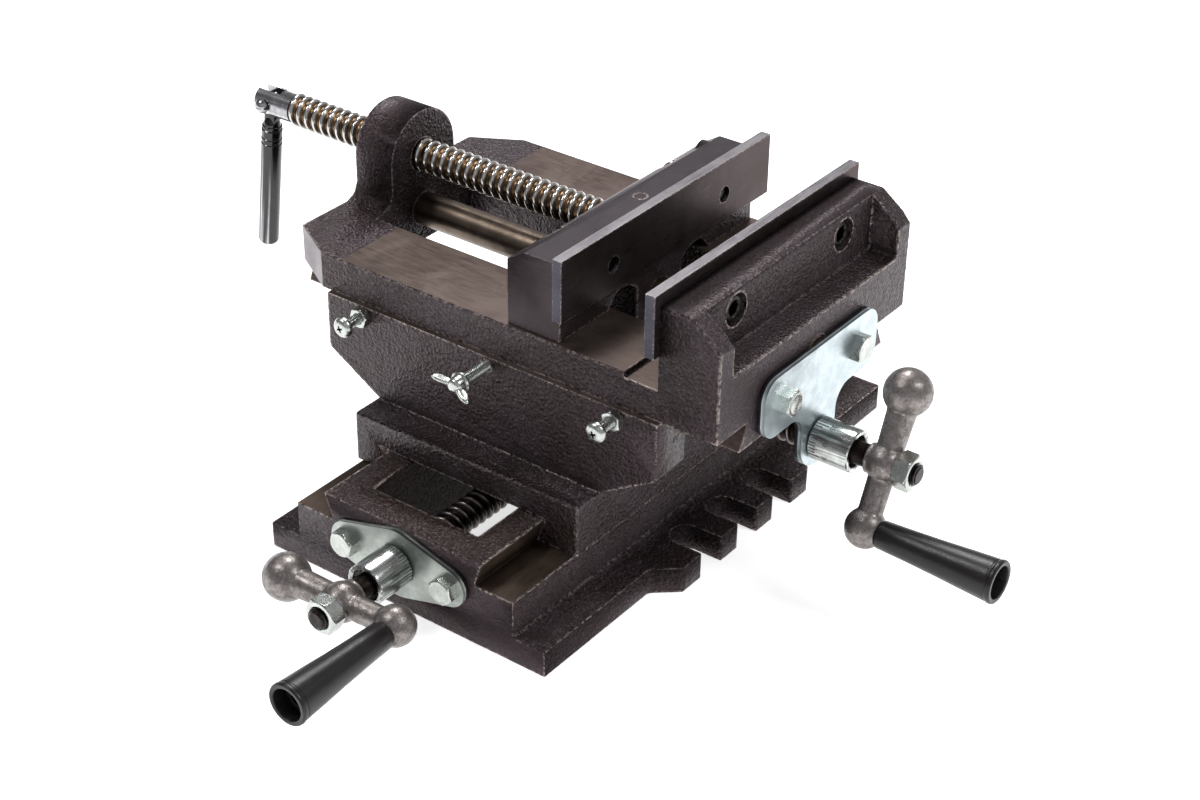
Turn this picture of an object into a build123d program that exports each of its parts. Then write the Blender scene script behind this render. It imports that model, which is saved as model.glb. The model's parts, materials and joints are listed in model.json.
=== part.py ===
from build123d import *
from math import cos, radians, sin, sqrt
import os

# Cross-slide (compound) drill-press vise, 125 mm jaws.  Millimetres.
# Frame: origin at the centre of the base's footprint on the machine table, +Z up,
# +X along the clamp screw towards the fixed jaw, +Y along the jaws.

# ---------------------------------------------------------------- driving dimensions
SLIDE_Y = -1.5            # the saddle rests this far along the base
BODY_X = 0.6              # centre of the vise body over the saddle

BASE_X, BASE_Y = 62.6, 109.0          # half length and half width of the base flange
FLANGE_Z = 8.5
FOOT_Z = -1.8             # underside of the base; write() lifts the whole vise onto the table by this much
BED_X, BED_Z = 48.9, 23.2             # raised bed and its shoulder
BASE_WAY_ROOT, BASE_WAY_TOP, BASE_WAY_Z = 32.6, 35.7, 32.7
WINDOW_X, WINDOW_Y = 24.0, 96.4       # half sizes of the window in the bed
EAR_X, EAR_Y, EAR_ROOT_Y = 71.9, 41.0, 49.1
SLOT_WIDTH, SLOT_PITCH, SLOT_END_X = 12.2, 23.3, 54.7

SADDLE_LEG_X, SADDLE_LEG_Y, SADDLE_LEG_Z = 50.2, 73.8, 43.7
SADDLE_X, SADDLE_Y = 73.5, 61.0       # upper half sizes
SADDLE_SHOULDER_Z = 57.4
WALL_Y = 44.6                         # inner face of the long saddle walls
WAY_FLOOR_Z, SADDLE_TOP_Z = 70.1, 79.9
TROUGH_Y, TROUGH_END_X, TROUGH_Z = 14.0, 38.0, 44.0

BODY_LOW_X, BODY_HIGH_X = -96.9, 96.3
BODY_Y = 59.5
BODY_Z, RAIL_Z = 80.0, 94.5
BODY_WAY_ROOT, BODY_WAY_FOOT, BODY_WAY_Z = 41.5, 46.0, 70.4
CORNER_X, CORNER_Y = 19.8, 11.5       # cut corners at the screw end
OPENING_Y = 27.5
BOSS_THICK, BOSS_RADIUS = 17.8, 17.9
SCREW_Z = 110.2                       # clamp screw axis
ROD_Z, ROD_RADIUS = 87.7, 6.5

GIB_THICK, GIB_GAP = 4.2, 4.4         # measured level, across the way
WAY_PLAY = 0.12
GIB_SCREW_X, GIB_SCREW_Z = 56.3, 76.0
SIDE_SCREW_Y, SIDE_SCREW_Z = 45.0, 28.2

JAW_HALF = 62.5
JAW_PLATE, JAW_LOW, JAW_HIGH = 4.1, 105.0, 128.6
JAW_BLOCK_Y, JAW_TOP = 58.0, 124.0
FIXED_FACE_X = 68.1
FIXED_WALL_X = 84.5
MOVING_BACK_X, MOVING_FRONT_X = 7.9, 30.4
JAW_SCREW_Y, JAW_SCREW_Z = 33.4, 115.5
GUIDE_LEG_Y, GUIDE_LEG_Z = 13.5, 75.5

CLAMP_RADIUS = 6.5
PIN_X = -156.3                        # handle pivot
HEAD_RADIUS, HEAD_X = 5.7, -143.5
HANDLE_RADIUS, HANDLE_LENGTH, HANDLE_TILT = 4.2, 65.0, 7.0

LEAD_RADIUS, JOURNAL_RADIUS = 6.0, 4.25
X_LEAD_Z, Y_LEAD_Z = 55.0, 19.5
BRACKET_THICK = 3.0
BRACKET_BOLT = 22.6                   # half spacing of the bracket bolts
X_BOLT_Z = 81.0
NUT_SCREW_Y, NUT_SCREW_Z = 10.4, 6.8  # screws of the cross-feed nut, from its axis
COLLAR_RADIUS, COLLAR_LENGTH, COLLAR_GAP = 7.9, 16.0, 0.3
HUB_REACH = 27.5                      # bracket face to crank hub centre
HUB_BALL, COUNTER_BALL, GRIP_BALL = 7.25, 8.75, 7.4
COUNTER_REACH, GRIP_REACH = 25.6, 23.6
GRIP_LENGTH, GRIP_NECK, GRIP_END = 46.0, 5.1, 7.9

M4, M5, M6, M8 = 2.0, 2.5, 3.0, 4.0   # thread radii
FIT = 0.05                            # radial clearance of shafts and screws in holes
CENTRE = Vector(0, SLIDE_Y, 0)


# ---------------------------------------------------------------- plain geometry
def block(x0, x1, y0, y1, z0, z1):
    return Pos((x0 + x1) / 2, (y0 + y1) / 2, (z0 + z1) / 2) * Box(x1 - x0, y1 - y0, z1 - z0)


def rod(radius, start, end):
    start, end = Vector(start), Vector(end)
    length = (end - start).length
    align = (Align.CENTER, Align.CENTER, Align.MIN)
    return Plane(origin=start, z_dir=end - start) * Cylinder(radius, length, align=align)


def taper(radius_a, radius_b, start, end):
    start, end = Vector(start), Vector(end)
    align = (Align.CENTER, Align.CENTER, Align.MIN)
    cone = Cone(radius_a, radius_b, (end - start).length, align=align)
    return Plane(origin=start, z_dir=end - start) * cone


def prism(outline, direction, length):
    face = make_face(Polyline(*outline, close=True))
    return extrude(face, amount=length, dir=Vector(direction))


def prism_x(outline, x0, x1):
    return prism([(x0, y, z) for y, z in outline], (1, 0, 0), x1 - x0)


def prism_y(outline, y0, y1):
    return prism([(x, y0, z) for x, z in outline], (0, 1, 0), y1 - y0)


def prism_z(outline, z0, z1):
    return prism([(x, y, z0) for x, y in outline], (0, 0, 1), z1 - z0)


def hexagon(across_flats, start, axis, length):
    profile = RegularPolygon(across_flats / sqrt(3), 6)
    return extrude(Plane(origin=Vector(start), z_dir=Vector(axis)) * profile, amount=length)


def ball(radius, centre):
    return Pos(*centre) * Sphere(radius)


def cap_screw(radius, seat, axis, shank, head_radius, head_length, socket):
    # seat: underside of the head; axis: from the tip towards the head
    seat, axis = Vector(seat), Vector(axis).normalized()
    screw = rod(radius, seat - axis * shank, seat) + rod(head_radius, seat, seat + axis * head_length)
    return screw - hexagon(socket, seat + axis * head_length, -axis, head_length * 0.55)


def hex_bolt(radius, seat, axis, shank, across_flats, head_length):
    seat, axis = Vector(seat), Vector(axis).normalized()
    return rod(radius, seat - axis * shank, seat) + hexagon(across_flats, seat, axis, head_length)


def hex_nut(radius, seat, axis, across_flats, length):
    seat, axis = Vector(seat), Vector(axis).normalized()
    nut = hexagon(across_flats, seat, axis, length)
    return nut - rod(radius + FIT, seat - axis, seat + axis * (length + 1))


def group(solids):
    return Compound(children=list(solids))


def mirrored_y(outline):
    return outline + [(-y, z) for y, z in reversed(outline)]


def write(name, shape):
    lifted = [Pos(0, 0, -FOOT_Z) * solid for solid in shape.solids()]
    export_step(lifted[0] if len(lifted) == 1 else group(lifted), f"parts/{name}.step")


# ---------------------------------------------------------------- base
def base_casting():
    flange = block(-BASE_X, BASE_X, -BASE_Y, BASE_Y, FOOT_Z, FLANGE_Z)
    for side in (-1, 1):
        ear = [(side * (BASE_X - 6), -EAR_ROOT_Y), (side * BASE_X, -EAR_ROOT_Y), (side * EAR_X, -EAR_Y),
               (side * EAR_X, EAR_Y), (side * BASE_X, EAR_ROOT_Y), (side * (BASE_X - 6), EAR_ROOT_Y)]
        flange += prism_z(ear, FOOT_Z, FLANGE_Z)
    bed = block(-BED_X, BED_X, -BASE_Y, BASE_Y, FLANGE_Z, BED_Z)
    way = prism_y([(-BASE_WAY_ROOT, BED_Z), (BASE_WAY_ROOT, BED_Z), (BASE_WAY_TOP, BASE_WAY_Z),
                   (-BASE_WAY_TOP, BASE_WAY_Z)], -BASE_Y, BASE_Y)
    base = flange + bed + way
    base -= block(-WINDOW_X, WINDOW_X, -WINDOW_Y, WINDOW_Y, FOOT_Z - 1, BASE_WAY_Z + 1)
    slot_r = SLOT_WIDTH / 2
    for side in (-1, 1):
        for row in (-1, 0, 1):
            y = row * SLOT_PITCH
            end_x = side * (SLOT_END_X + slot_r)
            base -= rod(slot_r, (end_x, y, FOOT_Z - 1), (end_x, y, FLANGE_Z + 1))
            low, high = sorted((end_x, side * (EAR_X + 1)))
            base -= block(low, high, y - slot_r, y + slot_r, FOOT_Z - 1, FLANGE_Z + 1)
        bolt_x = side * BRACKET_BOLT
        base -= rod(M6 + FIT, (bolt_x, -BASE_Y - 1, Y_LEAD_Z), (bolt_x, -BASE_Y + 11, Y_LEAD_Z))
    base -= rod(LEAD_RADIUS + 0.4, (0, -BASE_Y - 1, Y_LEAD_Z), (0, -WINDOW_Y + 1, Y_LEAD_Z))
    return base


def y_bracket_plate():
    y = -BASE_Y - BRACKET_THICK
    front = Plane(origin=(0, -BASE_Y, Y_LEAD_Z), x_dir=(1, 0, 0), z_dir=(0, -1, 0))
    lobes = [Edge.make_circle(7.5, Plane(origin=(side * BRACKET_BOLT, 0, 0))) for side in (-1, 1)]
    outline = make_hull(lobes + [Edge.make_circle(13.5, Plane.XY)])
    plate = extrude(front * outline, amount=BRACKET_THICK)
    for side in (-1, 1):
        plate -= rod(M6 + 0.3, (side * BRACKET_BOLT, y - 1, Y_LEAD_Z), (side * BRACKET_BOLT, -BASE_Y + 1, Y_LEAD_Z))
    return plate - rod(JOURNAL_RADIUS + FIT, (0, y - 1, Y_LEAD_Z), (0, -BASE_Y + 1, Y_LEAD_Z))


def y_bracket_bolts():
    seat_y = -BASE_Y - BRACKET_THICK
    return group(hex_bolt(M6, (side * BRACKET_BOLT, seat_y, Y_LEAD_Z), (0, -1, 0), 13, 9.2, 4.0)
                 for side in (-1, 1))


# ---------------------------------------------------------------- feed screws and cranks
class Feed:
    """One feed screw: outward is the way its crank points, arm is the crank's direction at rest."""

    def __init__(self, face, outward, arm):
        self.face = Vector(face)              # where the axis leaves the bracket
        self.out = Vector(outward)
        self.arm = Vector(arm).normalized()
        self.hub = self.face + self.out * HUB_REACH

    def at(self, distance, radial=0.0):
        return self.face + self.out * distance + self.arm * radial

    def lead_screw(self, inner_length):
        nut_seat = HUB_REACH + 5.3
        screw = rod(LEAD_RADIUS, self.at(-BRACKET_THICK - 0.2 - inner_length), self.at(-BRACKET_THICK - 0.2))
        screw += rod(JOURNAL_RADIUS, self.at(-BRACKET_THICK - 0.2), self.at(HUB_REACH - 5.5))
        return screw + rod(M8 - FIT, self.at(HUB_REACH - 5.5), self.at(nut_seat + 8.0))

    def collar(self):
        start, end = COLLAR_GAP, COLLAR_GAP + COLLAR_LENGTH
        collar = rod(COLLAR_RADIUS, self.at(start), self.at(end))
        collar -= rod(JOURNAL_RADIUS + FIT, self.at(start - 1), self.at(end + 1))
        collar -= rod(COLLAR_RADIUS - 2.0, self.at(end - 5), self.at(end + 1))
        middle = self.at(end - 7.5)
        return collar - rod(M4 + FIT, middle, middle - self.arm * (COLLAR_RADIUS + 1))

    def grub_screw(self):
        middle = self.at(COLLAR_GAP + COLLAR_LENGTH - 7.5)
        grub = rod(M4, middle - self.arm * (JOURNAL_RADIUS + FIT), middle - self.arm * (COLLAR_RADIUS - 0.4))
        return grub - hexagon(2.0, middle - self.arm * (COLLAR_RADIUS - 0.4), self.arm, 1.6)

    def crank_arm(self):
        # balls and tapered arms turned about the arm's own axis
        profile = Circle(HUB_BALL)
        profile += Pos(-COUNTER_REACH, 0) * Circle(COUNTER_BALL)
        profile += Pos(GRIP_REACH, 0) * Circle(GRIP_BALL)
        profile += make_face(Polyline((-COUNTER_REACH, -5.5), (0, -4.7), (GRIP_REACH, -4.4), (GRIP_REACH, 4.4),
                                      (0, 4.7), (-COUNTER_REACH, 5.5), close=True))
        profile &= Pos(0, 50) * Rectangle(200, 100)
        small = self.hub + self.arm * GRIP_REACH
        along = Plane(origin=self.hub, x_dir=self.arm, z_dir=self.out)
        arm = along * revolve(profile, Axis.X)
        arm += rod(5.6, self.hub - self.out * 6.2, self.hub + self.out * 5.3)
        for face, side in ((5.3, 1), (6.2, -1)):
            arm -= rod(8.2, self.hub + self.out * side * face, self.hub + self.out * side * 12)
        arm -= rod(M8, self.hub - self.out * 8, self.hub + self.out * 8)
        arm -= rod(JOURNAL_RADIUS + FIT, self.hub - self.out * 8, self.hub - self.out * 5.45)
        arm -= rod(9, small + self.out * 5.9, small + self.out * 12)
        return arm - rod(M6 + FIT, small - self.out * 4, small + self.out * 8)

    def crank_nut(self):
        return hex_nut(M8, self.at(HUB_REACH + 5.3), self.out, 12.2, 6.2)

    def grip(self):
        start = self.hub + self.arm * GRIP_REACH + self.out * 6.1
        end = start + self.out * GRIP_LENGTH
        bore = M6 + 0.08
        grip = taper(GRIP_NECK, GRIP_END, start, end)
        grip -= rod(bore, start - self.out, end + self.out)
        return grip - rod(5.9, end - self.out * 9, end + self.out)

    def grip_bolt(self):
        start = self.hub + self.arm * GRIP_REACH - self.out * 4
        seat = self.hub + self.arm * GRIP_REACH + self.out * (6.1 + GRIP_LENGTH - 9 + 0.2)
        return cap_screw(M6, seat, self.out, (seat - start).length, 4.9, 4.5, 4.0)


def write_feed(name, feed, inner_length):
    write(f"{name}_lead_screw", feed.lead_screw(inner_length))
    write(f"{name}_graduated_collar", feed.collar())
    write(f"{name}_collar_grub_screw", feed.grub_screw())
    write(f"{name}_crank_arm", feed.crank_arm())
    write(f"{name}_crank_nut", feed.crank_nut())
    write(f"{name}_grip_bolt", feed.grip_bolt())
    write(f"{name}_grip", feed.grip())


# ---------------------------------------------------------------- saddle
def base_way_flank(z, offset=0.0):
    """Level distance of the base dovetail's flank from its centre at height z."""
    slope = (BASE_WAY_TOP - BASE_WAY_ROOT) / (BASE_WAY_Z - BED_Z)
    return BASE_WAY_ROOT + slope * (z - BED_Z) + offset


def body_way_flank(z, offset=0.0):
    """The same for the vise body's dovetail, which widens downwards."""
    slope = (BODY_WAY_FOOT - BODY_WAY_ROOT) / (BODY_Z - BODY_WAY_Z)
    return BODY_WAY_ROOT + slope * (BODY_Z - z) + offset


def saddle_casting():
    saddle = block(-SADDLE_LEG_X, SADDLE_LEG_X, -SADDLE_LEG_Y, SADDLE_LEG_Y, BED_Z + 0.1, SADDLE_LEG_Z)
    saddle += block(-SADDLE_LEG_X, SADDLE_LEG_X, -WALL_Y - 1, WALL_Y + 1, SADDLE_LEG_Z, SADDLE_TOP_Z)
    wall = [(-SADDLE_LEG_X - 0.3, SADDLE_LEG_Z), (SADDLE_LEG_X + 0.3, SADDLE_LEG_Z), (SADDLE_X, SADDLE_SHOULDER_Z),
            (SADDLE_X, SADDLE_TOP_Z), (-SADDLE_X, SADDLE_TOP_Z), (-SADDLE_X, SADDLE_SHOULDER_Z)]
    lip_y = body_way_flank(SADDLE_TOP_Z) - 1
    for side in (-1, 1):
        low, high = sorted((side * WALL_Y, side * SADDLE_Y))
        saddle += prism_y(wall, low, high)
        low, high = sorted((side * lip_y, side * SADDLE_Y))
        saddle += block(-SADDLE_X, SADDLE_X, low, high, WAY_FLOOR_Z, SADDLE_TOP_Z)
    # dovetail for the vise body: gib on the near side, running fit on the far side
    top = SADDLE_TOP_Z + 0.5
    saddle -= prism_x([(-body_way_flank(WAY_FLOOR_Z, GIB_GAP), WAY_FLOOR_Z), (-body_way_flank(top, GIB_GAP), top),
                       (body_way_flank(top, WAY_PLAY), top), (body_way_flank(WAY_FLOOR_Z, WAY_PLAY), WAY_FLOOR_Z)],
                      -SADDLE_X - 1, SADDLE_X + 1)
    # dovetail over the base: gib on the screw-handle side
    low, ceiling = BED_Z - 0.5, BASE_WAY_Z + 0.5
    saddle -= prism_y([(-base_way_flank(low, GIB_GAP), low), (base_way_flank(low, WAY_PLAY), low),
                       (base_way_flank(ceiling, WAY_PLAY), ceiling), (-base_way_flank(ceiling, GIB_GAP), ceiling)],
                      -SADDLE_LEG_Y - 1, SADDLE_LEG_Y + 1)
    saddle -= block(-SADDLE_X - 1, TROUGH_END_X, -TROUGH_Y, TROUGH_Y, TROUGH_Z, SADDLE_TOP_Z)
    saddle -= rod(10 + FIT, (TROUGH_END_X - 1, 0, X_LEAD_Z), (SADDLE_LEG_X + 1, 0, X_LEAD_Z))
    for side in (-1, 1):
        y, z = side * NUT_SCREW_Y, X_LEAD_Z + side * NUT_SCREW_Z
        saddle -= rod(M4 + FIT, (TROUGH_END_X - 1, y, z), (TROUGH_END_X + 9, y, z))
        y = side * 8.0
        saddle -= rod(M5 + FIT, (0, y, 30), (0, y, TROUGH_Z + 1))
        saddle -= rod(4.5, (0, y, 38.5), (0, y, TROUGH_Z + 1))
    for x in (-GIB_SCREW_X, GIB_SCREW_X):
        saddle -= rod(M4 + FIT, (x, -SADDLE_Y - 1, GIB_SCREW_Z), (x, -44, GIB_SCREW_Z))
    saddle -= rod(M4 + 0.08, (BODY_X, -SADDLE_Y - 1, GIB_SCREW_Z), (BODY_X, -44, GIB_SCREW_Z))
    for y in (-SIDE_SCREW_Y, SIDE_SCREW_Y):
        saddle -= rod(M4 + FIT, (-SADDLE_LEG_X - 1, y, SIDE_SCREW_Z), (-35.5, y, SIDE_SCREW_Z))
    saddle -= rod(M4 + 0.08, (-SADDLE_LEG_X - 1, 0, SIDE_SCREW_Z), (-35.5, 0, SIDE_SCREW_Z))
    return Pos(CENTRE) * saddle


def x_gib():
    low, high = WAY_FLOOR_Z + 0.3, SADDLE_TOP_Z - 0.3
    near, far = 0.1, 0.1 + GIB_THICK
    gib = prism_x([(-body_way_flank(low, near), low), (-body_way_flank(high, near), high),
                   (-body_way_flank(high, far), high), (-body_way_flank(low, far), low)], -SADDLE_X, SADDLE_X)
    return Pos(CENTRE) * gib


def y_gib():
    low, high = BED_Z + 0.3, BASE_WAY_Z - 0.1
    near, far = 0.1, 0.1 + GIB_THICK
    gib = prism_y([(-base_way_flank(low, near), low), (-base_way_flank(high, near), high),
                   (-base_way_flank(high, far), high), (-base_way_flank(low, far), low)],
                  -SADDLE_LEG_Y + 0.5, SADDLE_LEG_Y - 0.5)
    return Pos(CENTRE) * gib


def pan_screw(tip, axis, length):
    """Gib adjuster: slotted pan head, cone point against the gib."""
    tip, axis = Vector(tip), Vector(axis)
    seat = tip + axis * length
    screw = taper(0.7, M4, tip, tip + axis * 1.5) + rod(M4, tip + axis * 1.5, seat)
    screw += rod(3.9, seat, seat + axis * 1.6) + taper(3.9, 2.6, seat + axis * 1.6, seat + axis * 3.0)
    across = Plane(origin=seat + axis * 3.0, z_dir=axis)
    return screw - across * Box(4.4, 1.0, 3.2) - across * Box(1.0, 4.4, 3.2)


X_GIB_FACE = body_way_flank(GIB_SCREW_Z, 0.1 + GIB_THICK)
Y_GIB_FACE = base_way_flank(SIDE_SCREW_Z, 0.1 + GIB_THICK)


def x_gib_screws():
    return group(Pos(CENTRE) * pan_screw((x, -X_GIB_FACE - 0.5, GIB_SCREW_Z), (0, -1, 0), 22.6)
                 for x in (-GIB_SCREW_X, GIB_SCREW_X))


def x_gib_lock_nuts():
    return group(Pos(CENTRE) * hex_nut(M4, (x, -SADDLE_Y, GIB_SCREW_Z), (0, -1, 0), 7.0, 3.2)
                 for x in (-GIB_SCREW_X, GIB_SCREW_X))


def y_gib_screws():
    return group(Pos(CENTRE) * pan_screw((-Y_GIB_FACE - 0.4, y, SIDE_SCREW_Z), (-1, 0, 0), 21.0)
                 for y in (-SIDE_SCREW_Y, SIDE_SCREW_Y))


def y_gib_lock_nuts():
    return group(Pos(CENTRE) * hex_nut(M4, (-SADDLE_LEG_X, y, SIDE_SCREW_Z), (-1, 0, 0), 7.0, 3.2)
                 for y in (-SIDE_SCREW_Y, SIDE_SCREW_Y))


def wing_screw(tip, axis, level, shank, wing_angle):
    """M4 wing screw; level is the wings' direction at angle 0, and wing_angle turns them about the axis."""
    plane = Plane(origin=Vector(tip), x_dir=Vector(level), z_dir=Vector(axis))
    align = (Align.CENTER, Align.CENTER, Align.MIN)
    screw = Cone(1.0, M4, 1.2, align=align) + Pos(0, 0, 1.2) * Cylinder(M4, shank, align=align)
    screw += Pos(0, 0, shank) * Cylinder(3.9, 0.9, align=align)
    screw += Pos(0, 0, shank + 0.9) * Cone(3.5, 3.0, 4.1, align=align)
    for side in (-1, 1):
        wing = Rot(0, side * -25, 0) * Pos(side * 5.6, 0, 0) * Box(7.0, 2.4, 4.0)
        screw += Pos(0, 0, shank + 2.4) * Rot(0, 0, wing_angle) * wing
    return plane * screw


def x_lock_screw():
    tip = (BODY_X, -X_GIB_FACE - 1.2, GIB_SCREW_Z)
    return Pos(CENTRE) * wing_screw(tip, (0, -1, 0), (1, 0, 0), 25.5, -19)


def y_lock_screw():
    tip = (-Y_GIB_FACE - 0.9, 0, SIDE_SCREW_Z)
    return Pos(CENTRE) * wing_screw(tip, (-1, 0, 0), (0, 1, 0), 24.0, 35)


def x_feed_nut():
    nut = rod(10, (34, 0, X_LEAD_Z), (SADDLE_LEG_X - 0.4, 0, X_LEAD_Z))
    nut += block(34, TROUGH_END_X - 0.1, -13.5, 13.5, TROUGH_Z + 0.2, 66)
    nut -= rod(LEAD_RADIUS + 0.06, (30, 0, X_LEAD_Z), (60, 0, X_LEAD_Z))
    for side in (-1, 1):
        y, z = side * NUT_SCREW_Y, X_LEAD_Z + side * NUT_SCREW_Z
        nut -= rod(M4 + FIT, (30, y, z), (40, y, z))
    return Pos(CENTRE) * nut


def x_feed_nut_screws():
    return group(Pos(CENTRE) * cap_screw(M4, (34, side * NUT_SCREW_Y, X_LEAD_Z + side * NUT_SCREW_Z), (-1, 0, 0),
                                         11, 3.4, 4.0, 3.0) for side in (-1, 1))


def y_feed_nut():
    nut = block(-11, 11, -12, 12, 10.5, BASE_WAY_Z + 0.5)
    nut -= rod(LEAD_RADIUS + 0.06, (0, -13, Y_LEAD_Z), (0, 13, Y_LEAD_Z))
    for side in (-1, 1):
        nut -= rod(M5 + FIT, (0, side * 8, 26), (0, side * 8, 35))
    return Pos(CENTRE) * nut


def y_feed_nut_screws():
    return group(Pos(CENTRE) * cap_screw(M5, (0, side * 8, 38.5), (0, 0, 1), 12, 4.2, 5.0, 4.0) for side in (-1, 1))


# ---------------------------------------------------------------- vise body
def vise_body_casting():
    plate = [(BODY_HIGH_X, -BODY_Y), (BODY_HIGH_X, BODY_Y), (BODY_LOW_X + CORNER_X, BODY_Y),
             (BODY_LOW_X, BODY_Y - CORNER_Y), (BODY_LOW_X, CORNER_Y - BODY_Y), (BODY_LOW_X + CORNER_X, -BODY_Y)]
    body = prism_z(plate, BODY_Z, RAIL_Z)
    body += prism_x(mirrored_y([(BODY_WAY_FOOT, BODY_WAY_Z), (BODY_WAY_ROOT, BODY_Z), (BODY_WAY_ROOT, BODY_Z + 1)]),
                    BODY_LOW_X, BODY_HIGH_X)
    boss_end = BODY_LOW_X + BOSS_THICK
    foot_z = RAIL_Z - 1
    body += block(BODY_LOW_X, boss_end, -BOSS_RADIUS, BOSS_RADIUS, foot_z, SCREW_Z)
    body += rod(BOSS_RADIUS, (BODY_LOW_X, 0, SCREW_Z), (boss_end, 0, SCREW_Z))
    for side in (-1, 1):
        flare = [(side * (BOSS_RADIUS - 1), foot_z), (side * (BOSS_RADIUS + 6), foot_z),
                 (side * (BOSS_RADIUS + 6), RAIL_Z), (side * (BOSS_RADIUS + 1.8), RAIL_Z + 1.8),
                 (side * BOSS_RADIUS, RAIL_Z + 6), (side * (BOSS_RADIUS - 1), RAIL_Z + 6)]
        body += prism_x(flare, BODY_LOW_X, boss_end)
    # fixed jaw: upright wall, low ledge behind it, and sloped cheeks at both ends
    wall_x = FIXED_FACE_X + JAW_PLATE
    body += block(wall_x, FIXED_WALL_X, -BODY_Y + 0.5, BODY_Y - 0.5, foot_z, JAW_TOP)
    body += block(wall_x, BODY_HIGH_X, -BODY_Y, BODY_Y, foot_z, 102.5)
    for side in (-1, 1):
        cheek = [(wall_x, foot_z), (BODY_HIGH_X, foot_z), (BODY_HIGH_X, 114.0), (BODY_HIGH_X - 3.0, 117.5),
                 (FIXED_WALL_X, JAW_TOP), (wall_x, JAW_TOP)]
        low, high = sorted((side * (BODY_Y - 8), side * BODY_Y))
        body += prism_y(cheek, low, high)
    # opening between the ways, relieved underneath
    opening_end = 66.5
    body -= block(boss_end, opening_end, -OPENING_Y, OPENING_Y, BODY_WAY_Z - 1, RAIL_Z + 1)
    body -= block(BODY_LOW_X - 1, opening_end, -33, 33, BODY_WAY_Z - 1, 74.5)
    body -= block(58.4, wall_x, -BODY_Y - 1, BODY_Y + 1, RAIL_Z - 2.3, RAIL_Z + 1)
    # holes
    body -= rod(ROD_RADIUS + FIT, (BODY_LOW_X - 1, 0, ROD_Z), (BODY_HIGH_X + 1, 0, ROD_Z))
    body -= rod(CLAMP_RADIUS + 0.08, (BODY_LOW_X - 1, 0, SCREW_Z), (boss_end + 1, 0, SCREW_Z))
    for side in (-1, 1):
        y = side * JAW_SCREW_Y
        body -= rod(M6 + 0.3, (wall_x - 1, y, JAW_SCREW_Z), (FIXED_WALL_X, y, JAW_SCREW_Z))
        body -= rod(6.0, (FIXED_WALL_X - 7, y, JAW_SCREW_Z), (FIXED_WALL_X + 1, y, JAW_SCREW_Z))
        y = side * BRACKET_BOLT
        body -= rod(M6 + FIT, (BODY_HIGH_X - 11, y, X_BOLT_Z), (BODY_HIGH_X + 1, y, X_BOLT_Z))
    return Pos(CENTRE) * body


def jaw_plate(x0):
    plate = block(x0, x0 + JAW_PLATE, -JAW_HALF, JAW_HALF, JAW_LOW, JAW_HIGH)
    for side in (-1, 1):
        y = side * JAW_SCREW_Y
        plate -= rod(M6 + FIT, (x0 - 1, y, JAW_SCREW_Z), (x0 + JAW_PLATE + 1, y, JAW_SCREW_Z))
    return Pos(CENTRE) * plate


def jaw_screws(seat_x, direction, shank):
    return group(Pos(CENTRE) * cap_screw(M6, (seat_x, side * JAW_SCREW_Y, JAW_SCREW_Z), (direction, 0, 0),
                                         shank, 4.85, 6.0, 5.0) for side in (-1, 1))


def guide_rod():
    return Pos(CENTRE) * rod(ROD_RADIUS, (BODY_LOW_X, 0, ROD_Z), (BODY_HIGH_X, 0, ROD_Z))


def x_bracket_plate():
    face = BODY_HIGH_X
    width, low, high, lobe = 36.0, 69.5, 92.5, 10.8
    side = Plane(origin=(face, 0, 0), x_dir=(0, 1, 0), z_dir=(1, 0, 0))
    outline = make_face(Polyline((-width, high), (-width, low), (-lobe, low), (-lobe, X_LEAD_Z - lobe),
                                 (lobe, X_LEAD_Z - lobe), (lobe, low), (width, low), (width, high), close=True))
    outer = outline.vertices().filter_by(lambda v: abs(v.X) > lobe + 1)
    outline = fillet(outer, radius=7.5)
    throat = outline.vertices().filter_by(lambda v: abs(abs(v.X) - lobe) < 0.01 and abs(v.Y - low) < 0.01)
    outline = fillet(throat, radius=8.0)
    foot = outline.vertices().filter_by(lambda v: v.Y < X_LEAD_Z - lobe + 0.01)
    outline = fillet(foot, radius=lobe - 0.05)
    plate = extrude(side * outline, amount=BRACKET_THICK)
    for sign in (-1, 1):
        y = sign * BRACKET_BOLT
        plate -= rod(M6 + 0.3, (face - 1, y, X_BOLT_Z), (face + BRACKET_THICK + 1, y, X_BOLT_Z))
    plate -= rod(JOURNAL_RADIUS + FIT, (face - 1, 0, X_LEAD_Z), (face + BRACKET_THICK + 1, 0, X_LEAD_Z))
    return Pos(CENTRE) * plate


def x_bracket_bolts():
    seat = BODY_HIGH_X + BRACKET_THICK
    return group(Pos(CENTRE) * hex_bolt(M6, (seat, side * BRACKET_BOLT, X_BOLT_Z), (1, 0, 0), 13, 9.2, 4.0)
                 for side in (-1, 1))


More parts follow.
